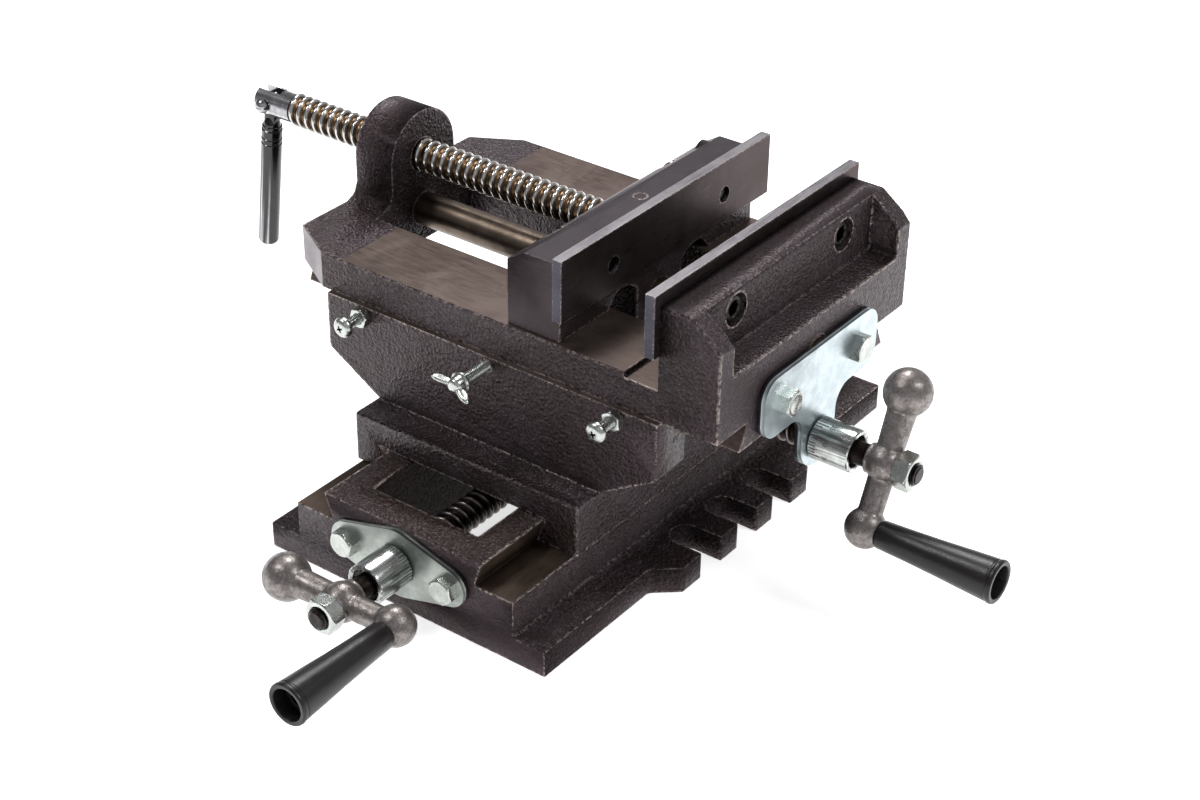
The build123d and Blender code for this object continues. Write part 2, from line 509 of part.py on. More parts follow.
# ---------------------------------------------------------------- moving jaw
def moving_jaw_casting():
    back, front = MOVING_BACK_X, MOVING_FRONT_X
    profile = [(back, RAIL_Z + 0.05), (front, RAIL_Z + 0.05), (front, JAW_TOP), (back + 7.5, JAW_TOP), (back, JAW_TOP - 4.7)]
    jaw = prism_y(profile, -JAW_BLOCK_Y, JAW_BLOCK_Y)
    jaw += block(back, front, -GUIDE_LEG_Y, GUIDE_LEG_Y, GUIDE_LEG_Z, RAIL_Z + 1)
    for side in (-1, 1):
        # arch between the guide leg and the foot on the rail
        arch_y = side * 22.5
        low, high = sorted((side * GUIDE_LEG_Y, side * (OPENING_Y + 3.5)))
        jaw -= prism_x([(low, RAIL_Z - 1), (high, RAIL_Z - 1), (high - 2 * (side > 0), 96.5), (arch_y + 3, 100.0),
                        (arch_y - 3, 100.0), (low + 2 * (side < 0), 96.5)], back - 1, front + 1)
        y = side * JAW_SCREW_Y
        jaw -= rod(M6 + 0.3, (back - 1, y, JAW_SCREW_Z), (front + 1, y, JAW_SCREW_Z))
        jaw -= rod(6.0, (back - 1, y, JAW_SCREW_Z), (back + 7, y, JAW_SCREW_Z))
    jaw += rod(4.8, (back + 4.2, 50.5, JAW_TOP - 4.8), (back + 9, 50.5, JAW_TOP - 4.8))
    jaw -= rod(ROD_RADIUS + 0.09, (back - 1, 0, ROD_Z), (front + 1, 0, ROD_Z))
    jaw -= rod(CLAMP_RADIUS + 0.08, (back - 1, 0, SCREW_Z), (front - 3, 0, SCREW_Z))
    jaw -= rod(M5 + FIT, (NECK_X, 0, SCREW_Z), (NECK_X, 0, JAW_TOP + 1))
    return Pos(CENTRE) * jaw


NOSE_X = MOVING_FRONT_X - 3.2         # end of the clamp screw in the moving jaw
NECK_X, NECK_WIDTH, NECK_RADIUS = NOSE_X - 6.0, 5.6, 4.0


def thrust_pin():
    # driven in and ground flush with the jaw; its end sits in the neck of the clamp screw and draws the jaw back
    pin = rod(M5, (NECK_X, 0, SCREW_Z + NECK_RADIUS + 0.3), (NECK_X, 0, JAW_TOP))
    return Pos(CENTRE) * pin


# ---------------------------------------------------------------- clamp screw and handle
def clamp_screw():
    screw = rod(CLAMP_RADIUS, (HEAD_X, 0, SCREW_Z), (NOSE_X, 0, SCREW_Z))
    neck = rod(CLAMP_RADIUS + 1, (NECK_X - NECK_WIDTH / 2, 0, SCREW_Z), (NECK_X + NECK_WIDTH / 2, 0, SCREW_Z))
    neck -= rod(NECK_RADIUS, (NECK_X - 5, 0, SCREW_Z), (NECK_X + 5, 0, SCREW_Z))
    screw -= neck
    head_end = PIN_X - 4.6
    screw += rod(HEAD_RADIUS, (head_end, 0, SCREW_Z), (HEAD_X, 0, SCREW_Z))
    screw -= block(head_end - 1, PIN_X + 6.2, -2.3, 2.3, SCREW_Z - 8, SCREW_Z + 8)
    return Pos(CENTRE) * (screw - rod(1.8 + FIT, (PIN_X, -8, SCREW_Z), (PIN_X, 8, SCREW_Z)))


def handle_rivet():
    cheek = HEAD_RADIUS + 0.3
    rivet = rod(1.8, (PIN_X, -cheek, SCREW_Z), (PIN_X, cheek, SCREW_Z))
    for side in (-1, 1):
        head = ball(3.2, (PIN_X, side * cheek, SCREW_Z))
        rivet += head & block(PIN_X - 4, PIN_X + 4, min(side * cheek, side * (cheek + 4)),
                              max(side * cheek, side * (cheek + 4)), SCREW_Z - 4, SCREW_Z + 4)
    return Pos(CENTRE) * rivet


def clamp_handle():
    # built hanging straight down from the pivot, then tilted outwards
    eye = rod(4.0, (0, -2.1, 0), (0, 2.1, 0)) + block(-3.0, 3.0, -2.1, 2.1, -9.0, 0)
    bar = rod(HANDLE_RADIUS - 0.8, (0, 0, -10.5), (0, 0, -7.8))
    bar += rod(HANDLE_RADIUS, (0, 0, -HANDLE_LENGTH), (0, 0, -10.5))
    handle = eye + bar - rod(1.8 + 0.08, (0, -5, 0), (0, 5, 0))
    return Pos(PIN_X, SLIDE_Y, SCREW_Z) * Rot(0, HANDLE_TILT, 0) * handle


# ---------------------------------------------------------------- write the parts
os.makedirs("parts", exist_ok=True)

X_ARM_ANGLE = radians(26.5)           # crank arm from straight down at rest
Y_ARM_ANGLE = radians(2.4)            # crank arm from level at rest
X_FEED = Feed((BODY_HIGH_X + BRACKET_THICK, SLIDE_Y, X_LEAD_Z), (1, 0, 0), (0, -sin(X_ARM_ANGLE), -cos(X_ARM_ANGLE)))
Y_FEED = Feed((0, -BASE_Y - BRACKET_THICK, Y_LEAD_Z), (0, -1, 0), (cos(Y_ARM_ANGLE), 0, sin(Y_ARM_ANGLE)))

write("base_casting", base_casting())
write("y_bracket_plate", y_bracket_plate())
write("y_bracket_bolts", y_bracket_bolts())
write_feed("y", Y_FEED, 175.0)
write("saddle_casting", saddle_casting())
write("x_gib", x_gib())
write("y_gib", y_gib())
write("x_gib_screws", x_gib_screws())
write("x_gib_lock_nuts", x_gib_lock_nuts())
write("y_gib_screws", y_gib_screws())
write("y_gib_lock_nuts", y_gib_lock_nuts())
write("x_lock_screw", x_lock_screw())
write("y_lock_screw", y_lock_screw())
write("x_feed_nut", x_feed_nut())
write("x_feed_nut_screws", x_feed_nut_screws())
write("y_feed_nut", y_feed_nut())
write("y_feed_nut_screws", y_feed_nut_screws())
write("vise_body_casting", vise_body_casting())
write("guide_rod", guide_rod())
write("fixed_jaw_plate", jaw_plate(FIXED_FACE_X))
write("fixed_jaw_screws", jaw_screws(FIXED_WALL_X - 7, 1, 9.0))
write("x_bracket_plate", x_bracket_plate())
write("x_bracket_bolts", x_bracket_bolts())
write_feed("x", X_FEED, 138.0)
write("moving_jaw_casting", moving_jaw_casting())
write("moving_jaw_plate", jaw_plate(MOVING_FRONT_X))
write("moving_jaw_screws", jaw_screws(MOVING_BACK_X + 7, -1, MOVING_FRONT_X - MOVING_BACK_X - 7 + 2.8))
write("thrust_pin", thrust_pin())
write("clamp_screw", clamp_screw())
write("handle_rivet", handle_rivet())
write("clamp_handle", clamp_handle())
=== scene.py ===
import json
import math
import bmesh
import bpy
from mathutils import Matrix, Vector


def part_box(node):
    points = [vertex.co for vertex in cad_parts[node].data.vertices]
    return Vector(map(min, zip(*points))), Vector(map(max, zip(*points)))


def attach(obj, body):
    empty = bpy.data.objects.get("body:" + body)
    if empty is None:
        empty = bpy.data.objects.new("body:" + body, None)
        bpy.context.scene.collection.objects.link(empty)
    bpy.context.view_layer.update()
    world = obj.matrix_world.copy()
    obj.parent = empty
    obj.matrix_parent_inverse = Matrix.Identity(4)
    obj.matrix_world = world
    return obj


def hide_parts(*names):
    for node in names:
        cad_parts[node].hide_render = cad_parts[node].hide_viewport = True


# Cross-slide drill-press vise: castings, plates, screws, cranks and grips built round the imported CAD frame.
# Lengths are written in millimetres and turned into metres where they reach Blender.

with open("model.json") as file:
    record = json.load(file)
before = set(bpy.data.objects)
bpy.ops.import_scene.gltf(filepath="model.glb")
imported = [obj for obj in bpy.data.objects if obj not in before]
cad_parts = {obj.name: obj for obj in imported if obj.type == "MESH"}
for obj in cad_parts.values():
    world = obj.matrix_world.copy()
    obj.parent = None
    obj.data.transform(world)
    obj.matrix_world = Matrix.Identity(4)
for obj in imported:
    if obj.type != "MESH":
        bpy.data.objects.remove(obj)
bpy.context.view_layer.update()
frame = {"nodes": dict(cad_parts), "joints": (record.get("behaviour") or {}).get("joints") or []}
MM = 0.001
JOINTS = {joint["name"]: joint for joint in frame["joints"]}
BOXES = {node: [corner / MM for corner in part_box(node)] for node in frame["nodes"]}
scene = bpy.context.scene


def low(node):
    """Lowest corner of a CAD node, in millimetres."""
    return BOXES[node][0].copy()


def high(node):
    """Highest corner of a CAD node, in millimetres."""
    return BOXES[node][1].copy()


def joint_place(name):
    """A point on a joint's axis, in millimetres."""
    return Vector(JOINTS[name]["pos_m"]) / MM


# ---------------------------------------------------------------- materials
class Finish:
    """A principled material whose colour, roughness and bump come from procedural nodes."""

    def __init__(self, name, metallic=0.0, roughness=0.5, **sockets):
        self.material = bpy.data.materials.new(name)
        self.material.use_nodes = True
        self.nodes = self.material.node_tree.nodes
        self.links = self.material.node_tree.links
        self.shader = self.nodes["Principled BSDF"]
        self.place = self.nodes.new("ShaderNodeTexCoord").outputs["Object"]
        self.normal = None
        self.put(self.shader.inputs["Metallic"], metallic)
        self.put(self.shader.inputs["Roughness"], roughness)
        for key, value in sockets.items():
            self.put(self.shader.inputs[key.replace("_", " ")], value)

    def put(self, socket, value):
        if isinstance(value, bpy.types.NodeSocket):
            self.links.new(value, socket)
        elif socket.type == "RGBA" and len(value) == 3:
            socket.default_value = (*value, 1.0)
        else:
            socket.default_value = value

    def node(self, kind, inputs, output=0, **settings):
        made = self.nodes.new(kind)
        for key, value in settings.items():
            setattr(made, key, value)
        for key, value in inputs.items():
            self.put(made.inputs[key], value)
        return made.outputs[output]

    def stretched(self, sizes):
        scale = tuple(1 / (size * MM) for size in sizes)
        return self.node("ShaderNodeVectorMath", {0: self.place, 1: scale}, operation="MULTIPLY")

    def noise(self, size, detail=2.0, roughness=0.5, distortion=0.0):
        """Noise with features of size millimetres, one number or one along each axis."""
        sizes = size if isinstance(size, tuple) else (size, size, size)
        inputs = {"Vector": self.stretched(sizes), "Scale": 1.0, "Detail": detail, "Roughness": roughness,
                  "Distortion": distortion}
        return self.node("ShaderNodeTexNoise", inputs)

    def ramp(self, value, start, end, first=0.0, last=1.0):
        """Smooth step from first to last while value runs from start to end."""
        inputs = {"Value": value, "From Min": start, "From Max": end, "To Min": first, "To Max": last}
        return self.node("ShaderNodeMapRange", inputs, interpolation_type="SMOOTHSTEP")

    def mix(self, share, a, b):
        return self.node("ShaderNodeMix", {0: share, 6: a, 7: b}, output=2, data_type="RGBA")

    def calc(self, operation, a, b):
        return self.node("ShaderNodeMath", {0: a, 1: b}, operation=operation)

    def axis(self, index):
        return self.node("ShaderNodeSeparateXYZ", {0: self.place}, output=index)

    def worn_edges(self, reach, size=0.8, low=0.16, high=0.34):
        """A broken mask along outer edges, where the surface has rubbed or chipped bright; it is also a
        painted highlight along those edges.
        """
        inside = self.node("ShaderNodeAmbientOcclusion", {"Distance": reach * MM}, output=1,
                           inside=True, only_local=True, samples=6)
        edge = self.calc("SUBTRACT", 1.0, inside)
        return self.ramp(self.calc("MULTIPLY", edge, self.ramp(self.noise(size, 3.0), 0.30, 0.66)), low, high)

    def crevices(self, reach):
        """Painted shade: a mask that darkens colour in inner corners, where other surfaces of the part lie
        close by.
        """
        open_sky = self.node("ShaderNodeAmbientOcclusion", {"Distance": reach * MM}, output=1,
                             only_local=True, samples=6)
        return self.ramp(open_sky, 0.85, 0.35)

    def bump(self, height, distance, strength=1.0):
        inputs = {"Height": height, "Distance": distance * MM, "Strength": strength}
        if self.normal is not None:
            inputs["Normal"] = self.normal
        self.normal = self.node("ShaderNodeBump", inputs)
        return self

    def done(self, color, roughness=None, metallic=None):
        self.put(self.shader.inputs["Base Color"], color)
        if roughness is not None:
            self.put(self.shader.inputs["Roughness"], roughness)
        if metallic is not None:
            self.put(self.shader.inputs["Metallic"], metallic)
        if self.normal is not None:
            self.put(self.shader.inputs["Normal"], self.normal)
        return self.material


WORN_AND_HIGHLIGHT = (0.40, 0.34, 0.31)                   # bare iron along rubbed edges, and partly a painted highlight along those edges


def scaled(color, share):
    """A colour made darker or lighter."""
    return tuple(share * value for value in color)


def cast_iron(name, light, dark, rough=1.0, shine=0.32, specular=0.42):
    """Oiled grey-iron casting: pebbled skin, brown blotches, softly burnished edges that also carry a painted
    highlight, and painted shade in inner corners.
    """
    skin = Finish(name, Specular_IOR_Level=specular, Specular_Tint=(1.0, 0.79, 0.84, 1.0))
    blotch = skin.noise(18.0, 4.0, 0.6)
    pebbles = skin.noise(1.2, 2.0, 0.5, 0.3)
    lumps = skin.noise(4.5, 2.0)
    grit = skin.noise(0.5, 2.0)
    tone = skin.mix(skin.ramp(blotch, 0.36, 0.66), dark, light)
    tone = skin.mix(skin.ramp(pebbles, 0.58, 0.40, 0.0, 0.70 * rough), tone, scaled(dark, 0.3))
    tone = skin.mix(skin.ramp(grit, 0.66, 0.76, 0.0, 0.40), tone, (0.16, 0.13, 0.13))
    # painted shade: colour darkened in inner corners, which also turn rougher
    corner_shade = skin.crevices(9.0)
    tone = skin.mix(corner_shade, tone, scaled(dark, 0.35))
    # wear and painted highlight: a lighter colour along outer edges
    worn_and_highlight = skin.worn_edges(1.2, 1.2, 0.08, 0.30)
    tone = skin.mix(worn_and_highlight, tone, WORN_AND_HIGHLIGHT)
    gloss = skin.ramp(pebbles, 0.3, 0.7, shine + 0.12, shine - 0.10)
    skin.bump(lumps, 0.65 * rough)
    skin.bump(pebbles, 0.90 * rough)
    skin.bump(grit, 0.14 * rough)
    return skin.done(tone, skin.ramp(corner_shade, 0.0, 1.0, gloss, 0.85), skin.ramp(worn_and_highlight, 0.0, 1.0, 0.0, 0.5))


def ground_iron(name, light, dark, brush, gloss=0.36, metallic=0.55):
    """Machined iron with fine tool lines along the long side of brush (feature sizes in millimetres)."""
    face = Finish(name, Specular_IOR_Level=0.32, Specular_Tint=(1.0, 0.86, 0.86, 1.0))
    lines = face.noise(brush, 3.0, 0.65)
    stains = face.noise(22.0, 4.0, 0.6, 0.6)
    spots = face.noise(3.2, 3.0, 0.6)
    tone = face.mix(face.ramp(stains, 0.34, 0.68), dark, light)
    tone = face.mix(face.ramp(lines, 0.35, 0.70, 0.0, 0.45), tone, scaled(light, 1.45))
    tone = face.mix(face.ramp(spots, 0.62, 0.74, 0.0, 0.40), tone, scaled(dark, 0.5))
    # painted shade: colour darkened in inner corners
    tone = face.mix(face.crevices(6.0), tone, scaled(dark, 0.45))
    # wear and painted highlight: a lighter colour along outer edges
    worn_and_highlight = face.worn_edges(0.8, 0.6)
    tone = face.mix(worn_and_highlight, tone, WORN_AND_HIGHLIGHT)
    face.bump(face.noise(9.0, 2.0), 0.05)
    face.bump(lines, 0.025)
    return face.done(tone, face.ramp(lines, 0.3, 0.7, gloss - 0.05, gloss + 0.10), metallic)


def bright_metal(name, tone, shade, roughness, size=3.0, brush=None, corner_shade=1.6, reflection_streaks=0.0, dark=0.2,
                 band=(0.40, 0.62)):
    """Plated or bare bright metal with faint clouding and scratches along the long side of brush, painted
    dark reflection bands along those lines when asked for, and painted shade in inner corners.
    """
    metal = Finish(name, metallic=1.0)
    clouds = metal.noise(size, 4.0, 0.6)
    color = metal.mix(metal.ramp(clouds, 0.38, 0.66), shade, tone)
    lines = metal.noise(brush or 0.5, 3.0, 0.6)
    # painted reflection: dark bands along the length, standing in for the dark surroundings that a polished
    # round part reflects
    if reflection_streaks:
        color = metal.mix(metal.ramp(lines, *band, 0.0, reflection_streaks), color, scaled(shade, dark))
    # painted shade: colour darkened in inner corners
    color = metal.mix(metal.crevices(corner_shade), color, scaled(shade, 0.2))
    metal.bump(lines, 0.003)
    return metal.done(color, metal.ramp(lines, 0.3, 0.75, roughness - 0.04, roughness + 0.10))


def screw_metal(name, crest, root, crest_radius, depth, roughness):
    """Thread polished at its crests and stained with old oil down in its grooves."""
    metal = Finish(name, metallic=1.0)
    across = metal.calc("SQRT", metal.calc("ADD", metal.calc("POWER", metal.axis(0), 2.0),
                                           metal.calc("POWER", metal.axis(1), 2.0)), 0.0)
    groove = metal.ramp(across, (crest_radius - 0.15) * MM, (crest_radius - 0.75 * depth) * MM)
    stain = metal.ramp(metal.noise(5.0, 3.0), 0.35, 0.65)
    oil = metal.mix(stain, scaled(root, 0.35), root)
    scuffs = metal.noise((0.4, 0.4, 2.0), 3.0)
    color = metal.mix(groove, crest, oil)
    color = metal.mix(metal.ramp(scuffs, 0.60, 0.75, 0.0, 0.4), color, scaled(crest, 0.5))
    metal.bump(scuffs, 0.01)
    return metal.done(color, metal.ramp(groove, 0.0, 1.0, roughness, roughness + 0.14))


CAST = cast_iron("cast_iron", (0.032, 0.022, 0.026), (0.018, 0.0115, 0.009), 1.0, 0.30)
CAST_FINE = cast_iron("cast_iron_fine", (0.032, 0.023, 0.0265), (0.020, 0.0140, 0.0135), 0.45, 0.40)
CAST_DARK = cast_iron("cast_iron_dark", (0.034, 0.023, 0.018), (0.020, 0.012, 0.009), 1.1)
# painted shade: a darker, duller copy of the cast iron for the walls inside the base's window, which lie in
# shadow under the saddle
CAST_IN_SHADOW = cast_iron("cast_iron_in_shadow", (0.020, 0.013, 0.0085), (0.009, 0.0055, 0.004), 0.8, 0.62, 0.12)
GROUND_RAIL = ground_iron("ground_rail", (0.110, 0.083, 0.072), (0.046, 0.032, 0.026), (9.0, 0.5, 0.5), 0.42)
GROUND_DARK = ground_iron("ground_dark", (0.080, 0.058, 0.042), (0.034, 0.024, 0.018), (0.5, 9.0, 0.5), 0.36)
GROUND_JAW = ground_iron("ground_jaw", (0.030, 0.025, 0.030), (0.018, 0.015, 0.0175),
                         (0.35, 7.0, 7.0), 0.38, 0.3)
GROUND_SIDE = ground_iron("ground_side", (0.040, 0.030, 0.035), (0.022, 0.0155, 0.017),
                          (8.0, 8.0, 0.6), 0.42, 0.25)
GROUND_CORNER = ground_iron("ground_corner", (0.24, 0.25, 0.26), (0.09, 0.09, 0.10),
                            (0.6, 0.6, 4.0), 0.40, 0.5)
JAW_FACE = ground_iron("jaw_plate_face", (0.040, 0.033, 0.034), (0.020, 0.014, 0.012),
                       (5.0, 8.0, 0.5), 0.32, 0.6)
JAW_EDGE = ground_iron("jaw_plate_edge", (0.20, 0.195, 0.205), (0.115, 0.11, 0.12),
                       (0.4, 9.0, 9.0), 0.38, 0.85)
JAW_END = ground_iron("jaw_plate_end", (0.062, 0.062, 0.077), (0.034, 0.034, 0.043),
                      (5.0, 5.0, 0.5), 0.36, 0.7)
# on the zinc nuts and bolts the painted corner shade reaches 3 mm
ZINC = bright_metal("zinc_plate", (0.54, 0.56, 0.53), (0.43, 0.45, 0.42), 0.23, 5.0, corner_shade=3.0)
# the turned collar gets painted dark reflection bands along its length
ZINC_TURNED = bright_metal("zinc_turned", (0.64, 0.66, 0.64), (0.50, 0.52, 0.50), 0.22, 6.0, (0.9, 0.9, 40.0),
                           reflection_streaks=0.75, dark=0.16)
ZINC_PLATE = bright_metal("zinc_bracket", (0.54, 0.61, 0.63), (0.43, 0.49, 0.51), 0.34, 7.0, (1.0, 4.0, 1.0))
ZINC_OLD = bright_metal("zinc_bracket_dull", (0.42, 0.45, 0.42), (0.29, 0.31, 0.29), 0.34, 9.0,
                        (2.0, 1.0, 1.0))
# the chrome bar and the chrome head get painted dark reflection bands along their length
CHROME = bright_metal("chrome", (0.62, 0.62, 0.63), (0.50, 0.50, 0.51), 0.13, 6.0, (4.0, 4.0, 200.0),
                      reflection_streaks=0.97, dark=0.07, band=(0.30, 0.44))
CHROME_HEAD = bright_metal("chrome_head", (0.50, 0.50, 0.51), (0.34, 0.34, 0.35), 0.20, 2.0, (60.0, 3.0, 3.0),
                           reflection_streaks=0.8, dark=0.2, corner_shade=3.0)
CLAMP_THREAD = screw_metal("clamp_thread", (0.52, 0.51, 0.49), (0.150, 0.092, 0.048), 6.45, 1.5, 0.18)
FEED_THREAD = screw_metal("feed_thread", (0.16, 0.14, 0.13), (0.020, 0.015, 0.013), 6.0, 1.4, 0.28)
ROD = bright_metal("bare_rod", (0.150, 0.118, 0.092), (0.100, 0.077, 0.060), 0.34, 7.0, (0.5, 0.5, 14.0))
BLACK = bright_metal("black_steel", (0.040, 0.034, 0.033), (0.020, 0.017, 0.016), 0.34, 2.0)
BRONZE = bright_metal("bronze", (0.42, 0.27, 0.12), (0.22, 0.13, 0.06), 0.34, 4.0)


def forged_metal():
    """Unpainted cast crank: mottled grey-brown skin with burnished high spots."""
    skin = Finish("crank_metal")
    mottle = skin.noise(2.4, 5.0, 0.65, 0.5)
    fine = skin.noise(0.7, 3.0, 0.6)
    tone = skin.mix(skin.ramp(mottle, 0.30, 0.70), (0.125, 0.107, 0.100), (0.270, 0.247, 0.235))
    tone = skin.mix(skin.ramp(fine, 0.58, 0.72, 0.0, 0.5), tone, (0.46, 0.43, 0.41))
    tone = skin.mix(skin.ramp(fine, 0.42, 0.30, 0.0, 0.6), tone, (0.05, 0.04, 0.04))
    # painted shade: colour darkened in inner corners
    tone = skin.mix(skin.crevices(4.0), tone, (0.045, 0.036, 0.032))
    skin.bump(skin.noise(3.0, 2.0), 0.14)
    skin.bump(fine, 0.10)
    return skin.done(tone, skin.ramp(mottle, 0.3, 0.7, 0.46, 0.28), 0.8)


def grip_plastic():
    """Satin black moulded grip with faint scuffs along its length."""
    skin = Finish("grip_plastic", IOR=1.5, Specular_IOR_Level=0.36)
    scuffs = skin.noise((0.6, 0.6, 12.0), 3.0, 0.6)
    grain = skin.noise(0.6, 2.0)
    tone = skin.mix(skin.ramp(scuffs, 0.55, 0.75), (0.007, 0.0055, 0.006), (0.020, 0.016, 0.016))
    skin.bump(grain, 0.02)
    skin.bump(scuffs, 0.02)
    return skin.done(tone, skin.ramp(grain, 0.3, 0.7, 0.30, 0.42))


def engraving():
    """Dark residue in the stamped numbers."""
    ink = Finish("engraving")
    tone = ink.mix(ink.noise(0.5, 2.0), (0.05, 0.045, 0.04), (0.14, 0.13, 0.12))
    return ink.bump(ink.noise(0.3), 0.01).done(tone, 0.5, 0.6)


CRANK = forged_metal()
GRIP = grip_plastic()
ENGRAVED = engraving()


# ---------------------------------------------------------------- mesh tools
def piece(name, mesh, body, materials, matrix=None, replaces=(), sharp=32):
    """Turns a bmesh in millimetres into an object that rides on a body."""
    bmesh.ops.remove_doubles(mesh, verts=mesh.verts, dist=1e-4)
    bmesh.ops.scale(mesh, vec=(MM, MM, MM), verts=mesh.verts)
    bmesh.ops.recalc_face_normals(mesh, faces=mesh.faces)
    data = bpy.data.meshes.new(name)
    mesh.to_mesh(data)
    mesh.free()
    data.shade_smooth()
    data.set_sharp_from_angle(angle=math.radians(sharp))
    for material in materials if isinstance(materials, (list, tuple)) else [materials]:
        data.materials.append(material)
    made = bpy.data.objects.new(name, data)
    scene.collection.objects.link(made)
    if matrix is not None:
        made.matrix_world = matrix
    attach(made, body)
    if replaces:
        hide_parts(*([replaces] if isinstance(replaces, str) else replaces))
    return made


def placed(origin, along, side):
    """Frame with Z along a direction and X towards side; origin in millimetres."""
    z = Vector(along).normalized()
    x = Vector(side)
    x = (x - z * x.dot(z)).normalized()
    made = Matrix((x, z.cross(x), z)).transposed().to_4x4()
    made.translation = Vector(origin) * MM
    return made


def shifted(matrix, x=0.0, y=0.0, z=0.0):
    return matrix @ Matrix.Translation(Vector((x, y, z)) * MM)


def turned(mesh, profile, columns=48, closed=False, offset=(0.0, 0.0, 0.0), axis=None, slot=0):
    """Turns (height, radius) points about Z; a radius may be a function of the angle."""
    rings = []
    for height, radius in profile:
        ring = []
        for column in range(columns):
            angle = math.tau * column / columns
            reach = radius(angle) if callable(radius) else radius
            point = Vector((reach * math.cos(angle), reach * math.sin(angle), height))
            if axis is not None:
                point = axis @ point
            ring.append(mesh.verts.new(point + Vector(offset)))
        rings.append(ring)
    pairs = list(zip(rings, rings[1:]))
    if closed:
        pairs.append((rings[-1], rings[0]))
    for lower, upper in pairs:
        for column in range(columns):
            after = (column + 1) % columns
            face = mesh.faces.new((lower[column], lower[after], upper[after], upper[column]))
            face.material_index = slot
    return mesh


# (share of the pitch, share of the depth) of the points along one turn of a thread
THREAD_FORM = ((0.00, 0.80), (0.05, 0.95), (0.15, 1.00), (0.25, 0.95), (0.31, 0.80), (0.42, 0.14),
               (0.49, 0.0), (0.64, 0.0), (0.80, 0.0), (0.88, 0.14))
TAN_60 = 1.732                              # slope of the turned-off corners of hexagons


def thread(mesh, radius, depth, pitch, start, end, columns=40):
    """Right-hand thread with rounded crests about Z, closed at both ends."""
    count = len(THREAD_FORM)
    rows = []
    for row in range(count * (math.ceil((end - start) / pitch) + 2) + 1):
        phase, share = THREAD_FORM[row % count]
        ring = []
        for column in range(columns):
            angle = math.tau * column / columns
            height = start + pitch * (row // count + phase + column / columns - 1)
            size = radius - depth * (1 - share) if start < height < end else radius - depth
            ring.append(mesh.verts.new((size * math.cos(angle), size * math.sin(angle),
                                        min(max(height, start), end))))
        rows.append(ring)
    for row in range(len(rows) - count - 1):
        for column in range(columns):
            last = column == columns - 1
            a, b = rows[row][column], rows[row + 1][column]
            c = rows[row + 1 + count][0] if last else rows[row + 1][column + 1]
            d = rows[row + count][0] if last else rows[row][column + 1]
            mesh.faces.new((a, d, c, b))
    bmesh.ops.remove_doubles(mesh, verts=mesh.verts, dist=1e-4)
    loose = [edge for edge in mesh.edges if len(edge.link_faces) == 1]
    bmesh.ops.holes_fill(mesh, edges=loose)
    bmesh.ops.delete(mesh, geom=[vertex for vertex in mesh.verts if not vertex.link_faces], context="VERTS")
    return mesh


def hexagonal(across_flats, limit=None):
    """Radius of a hexagon at an angle, cut off at limit."""
    def radius(angle):
        inside = math.radians((math.degrees(angle) % 60) - 30)
        reach = across_flats / 2 / math.cos(inside)
        return min(reach, limit) if limit else reach
    return radius


def hex_profile(across_flats, start, height, both_ends=False):
    """Profile rows of a hexagon block whose corners are turned off at 30 degrees."""
    steps = (0.0, 0.08, 0.18, 0.3, 0.45, 0.62, 0.8)
    inner = across_flats / 2 * 0.95
    rows = [(start + height - step, hexagonal(across_flats, inner + step * TAN_60))
            for step in reversed(steps)]
    if both_ends:
        return [(start + step, hexagonal(across_flats, inner + step * TAN_60)) for step in steps] + rows
    return [(start, hexagonal(across_flats))] + rows


def nut(mesh, across_flats, start, height, bore, slot=0):
    """Hexagon nut with chamfered ends and a chamfered bore."""
    rows = hex_profile(across_flats, start, height, both_ends=True)
    lip = 0.12 * bore
    rows += [(start + height, bore + lip), (start + height - lip, bore), (start + lip, bore),
             (start, bore + lip)]
    return turned(mesh, rows, 72, closed=True, slot=slot)


def bolt_head(mesh, across_flats, start, height, shank_radius, shank):
    """Hexagon head with a shallow dished top, on a plain shank."""
    rows = [(start - shank, 0.0), (start - shank, shank_radius - 0.4), (start - shank + 0.4, shank_radius),
            (start, shank_radius)] + hex_profile(across_flats, start, height)
    dish = across_flats * 0.36
    rows += [(start + height, dish), (start + height - 0.22, dish - 0.5), (start + height - 0.22, 0.0)]
    return turned(mesh, rows, 72)


def cad_mesh(node):
    """Copy of a CAD node's mesh in millimetres, with its doubled points joined."""
    mesh = bmesh.new()
    mesh.from_mesh(frame["nodes"][node].data)
    bmesh.ops.scale(mesh, vec=(1 / MM,) * 3, verts=mesh.verts)
    bmesh.ops.remove_doubles(mesh, verts=mesh.verts, dist=1e-3)
    return mesh


def finished(node, material):
    """Gives a CAD node that stays in view its material."""
    kept = frame["nodes"][node]
    kept.data.materials.clear()
    kept.data.materials.append(material)
    return kept


def carve(target, cutter_mesh, matrix):
    """Cuts a closed bmesh in millimetres out of a piece."""
    bmesh.ops.scale(cutter_mesh, vec=(MM, MM, MM), verts=cutter_mesh.verts)
    bmesh.ops.recalc_face_normals(cutter_mesh, faces=cutter_mesh.faces)
    data = bpy.data.meshes.new("cutter")
    cutter_mesh.to_mesh(data)
    cutter_mesh.free()
    cutter = bpy.data.objects.new("cutter", data)
    scene.collection.objects.link(cutter)
    cutter.matrix_world = matrix
    cut = target.modifiers.new("carve", "BOOLEAN")
    cut.operation = "DIFFERENCE"
    cut.solver = "EXACT"
    cut.object = cutter
    bpy.context.view_layer.update()
    evaluated = target.evaluated_get(bpy.context.evaluated_depsgraph_get())
    result = bpy.data.meshes.new_from_object(evaluated)
    target.modifiers.clear()
    target.data = result
    bpy.data.objects.remove(cutter)
    result.shade_smooth()
    result.set_sharp_from_angle(angle=math.radians(32))
    return target


def box_mesh(mesh, size, centre=(0, 0, 0)):
    bmesh.ops.create_cube(mesh, size=1.0, matrix=Matrix.Translation(centre) @ Matrix.Diagonal((*size, 1.0)))
    return mesh


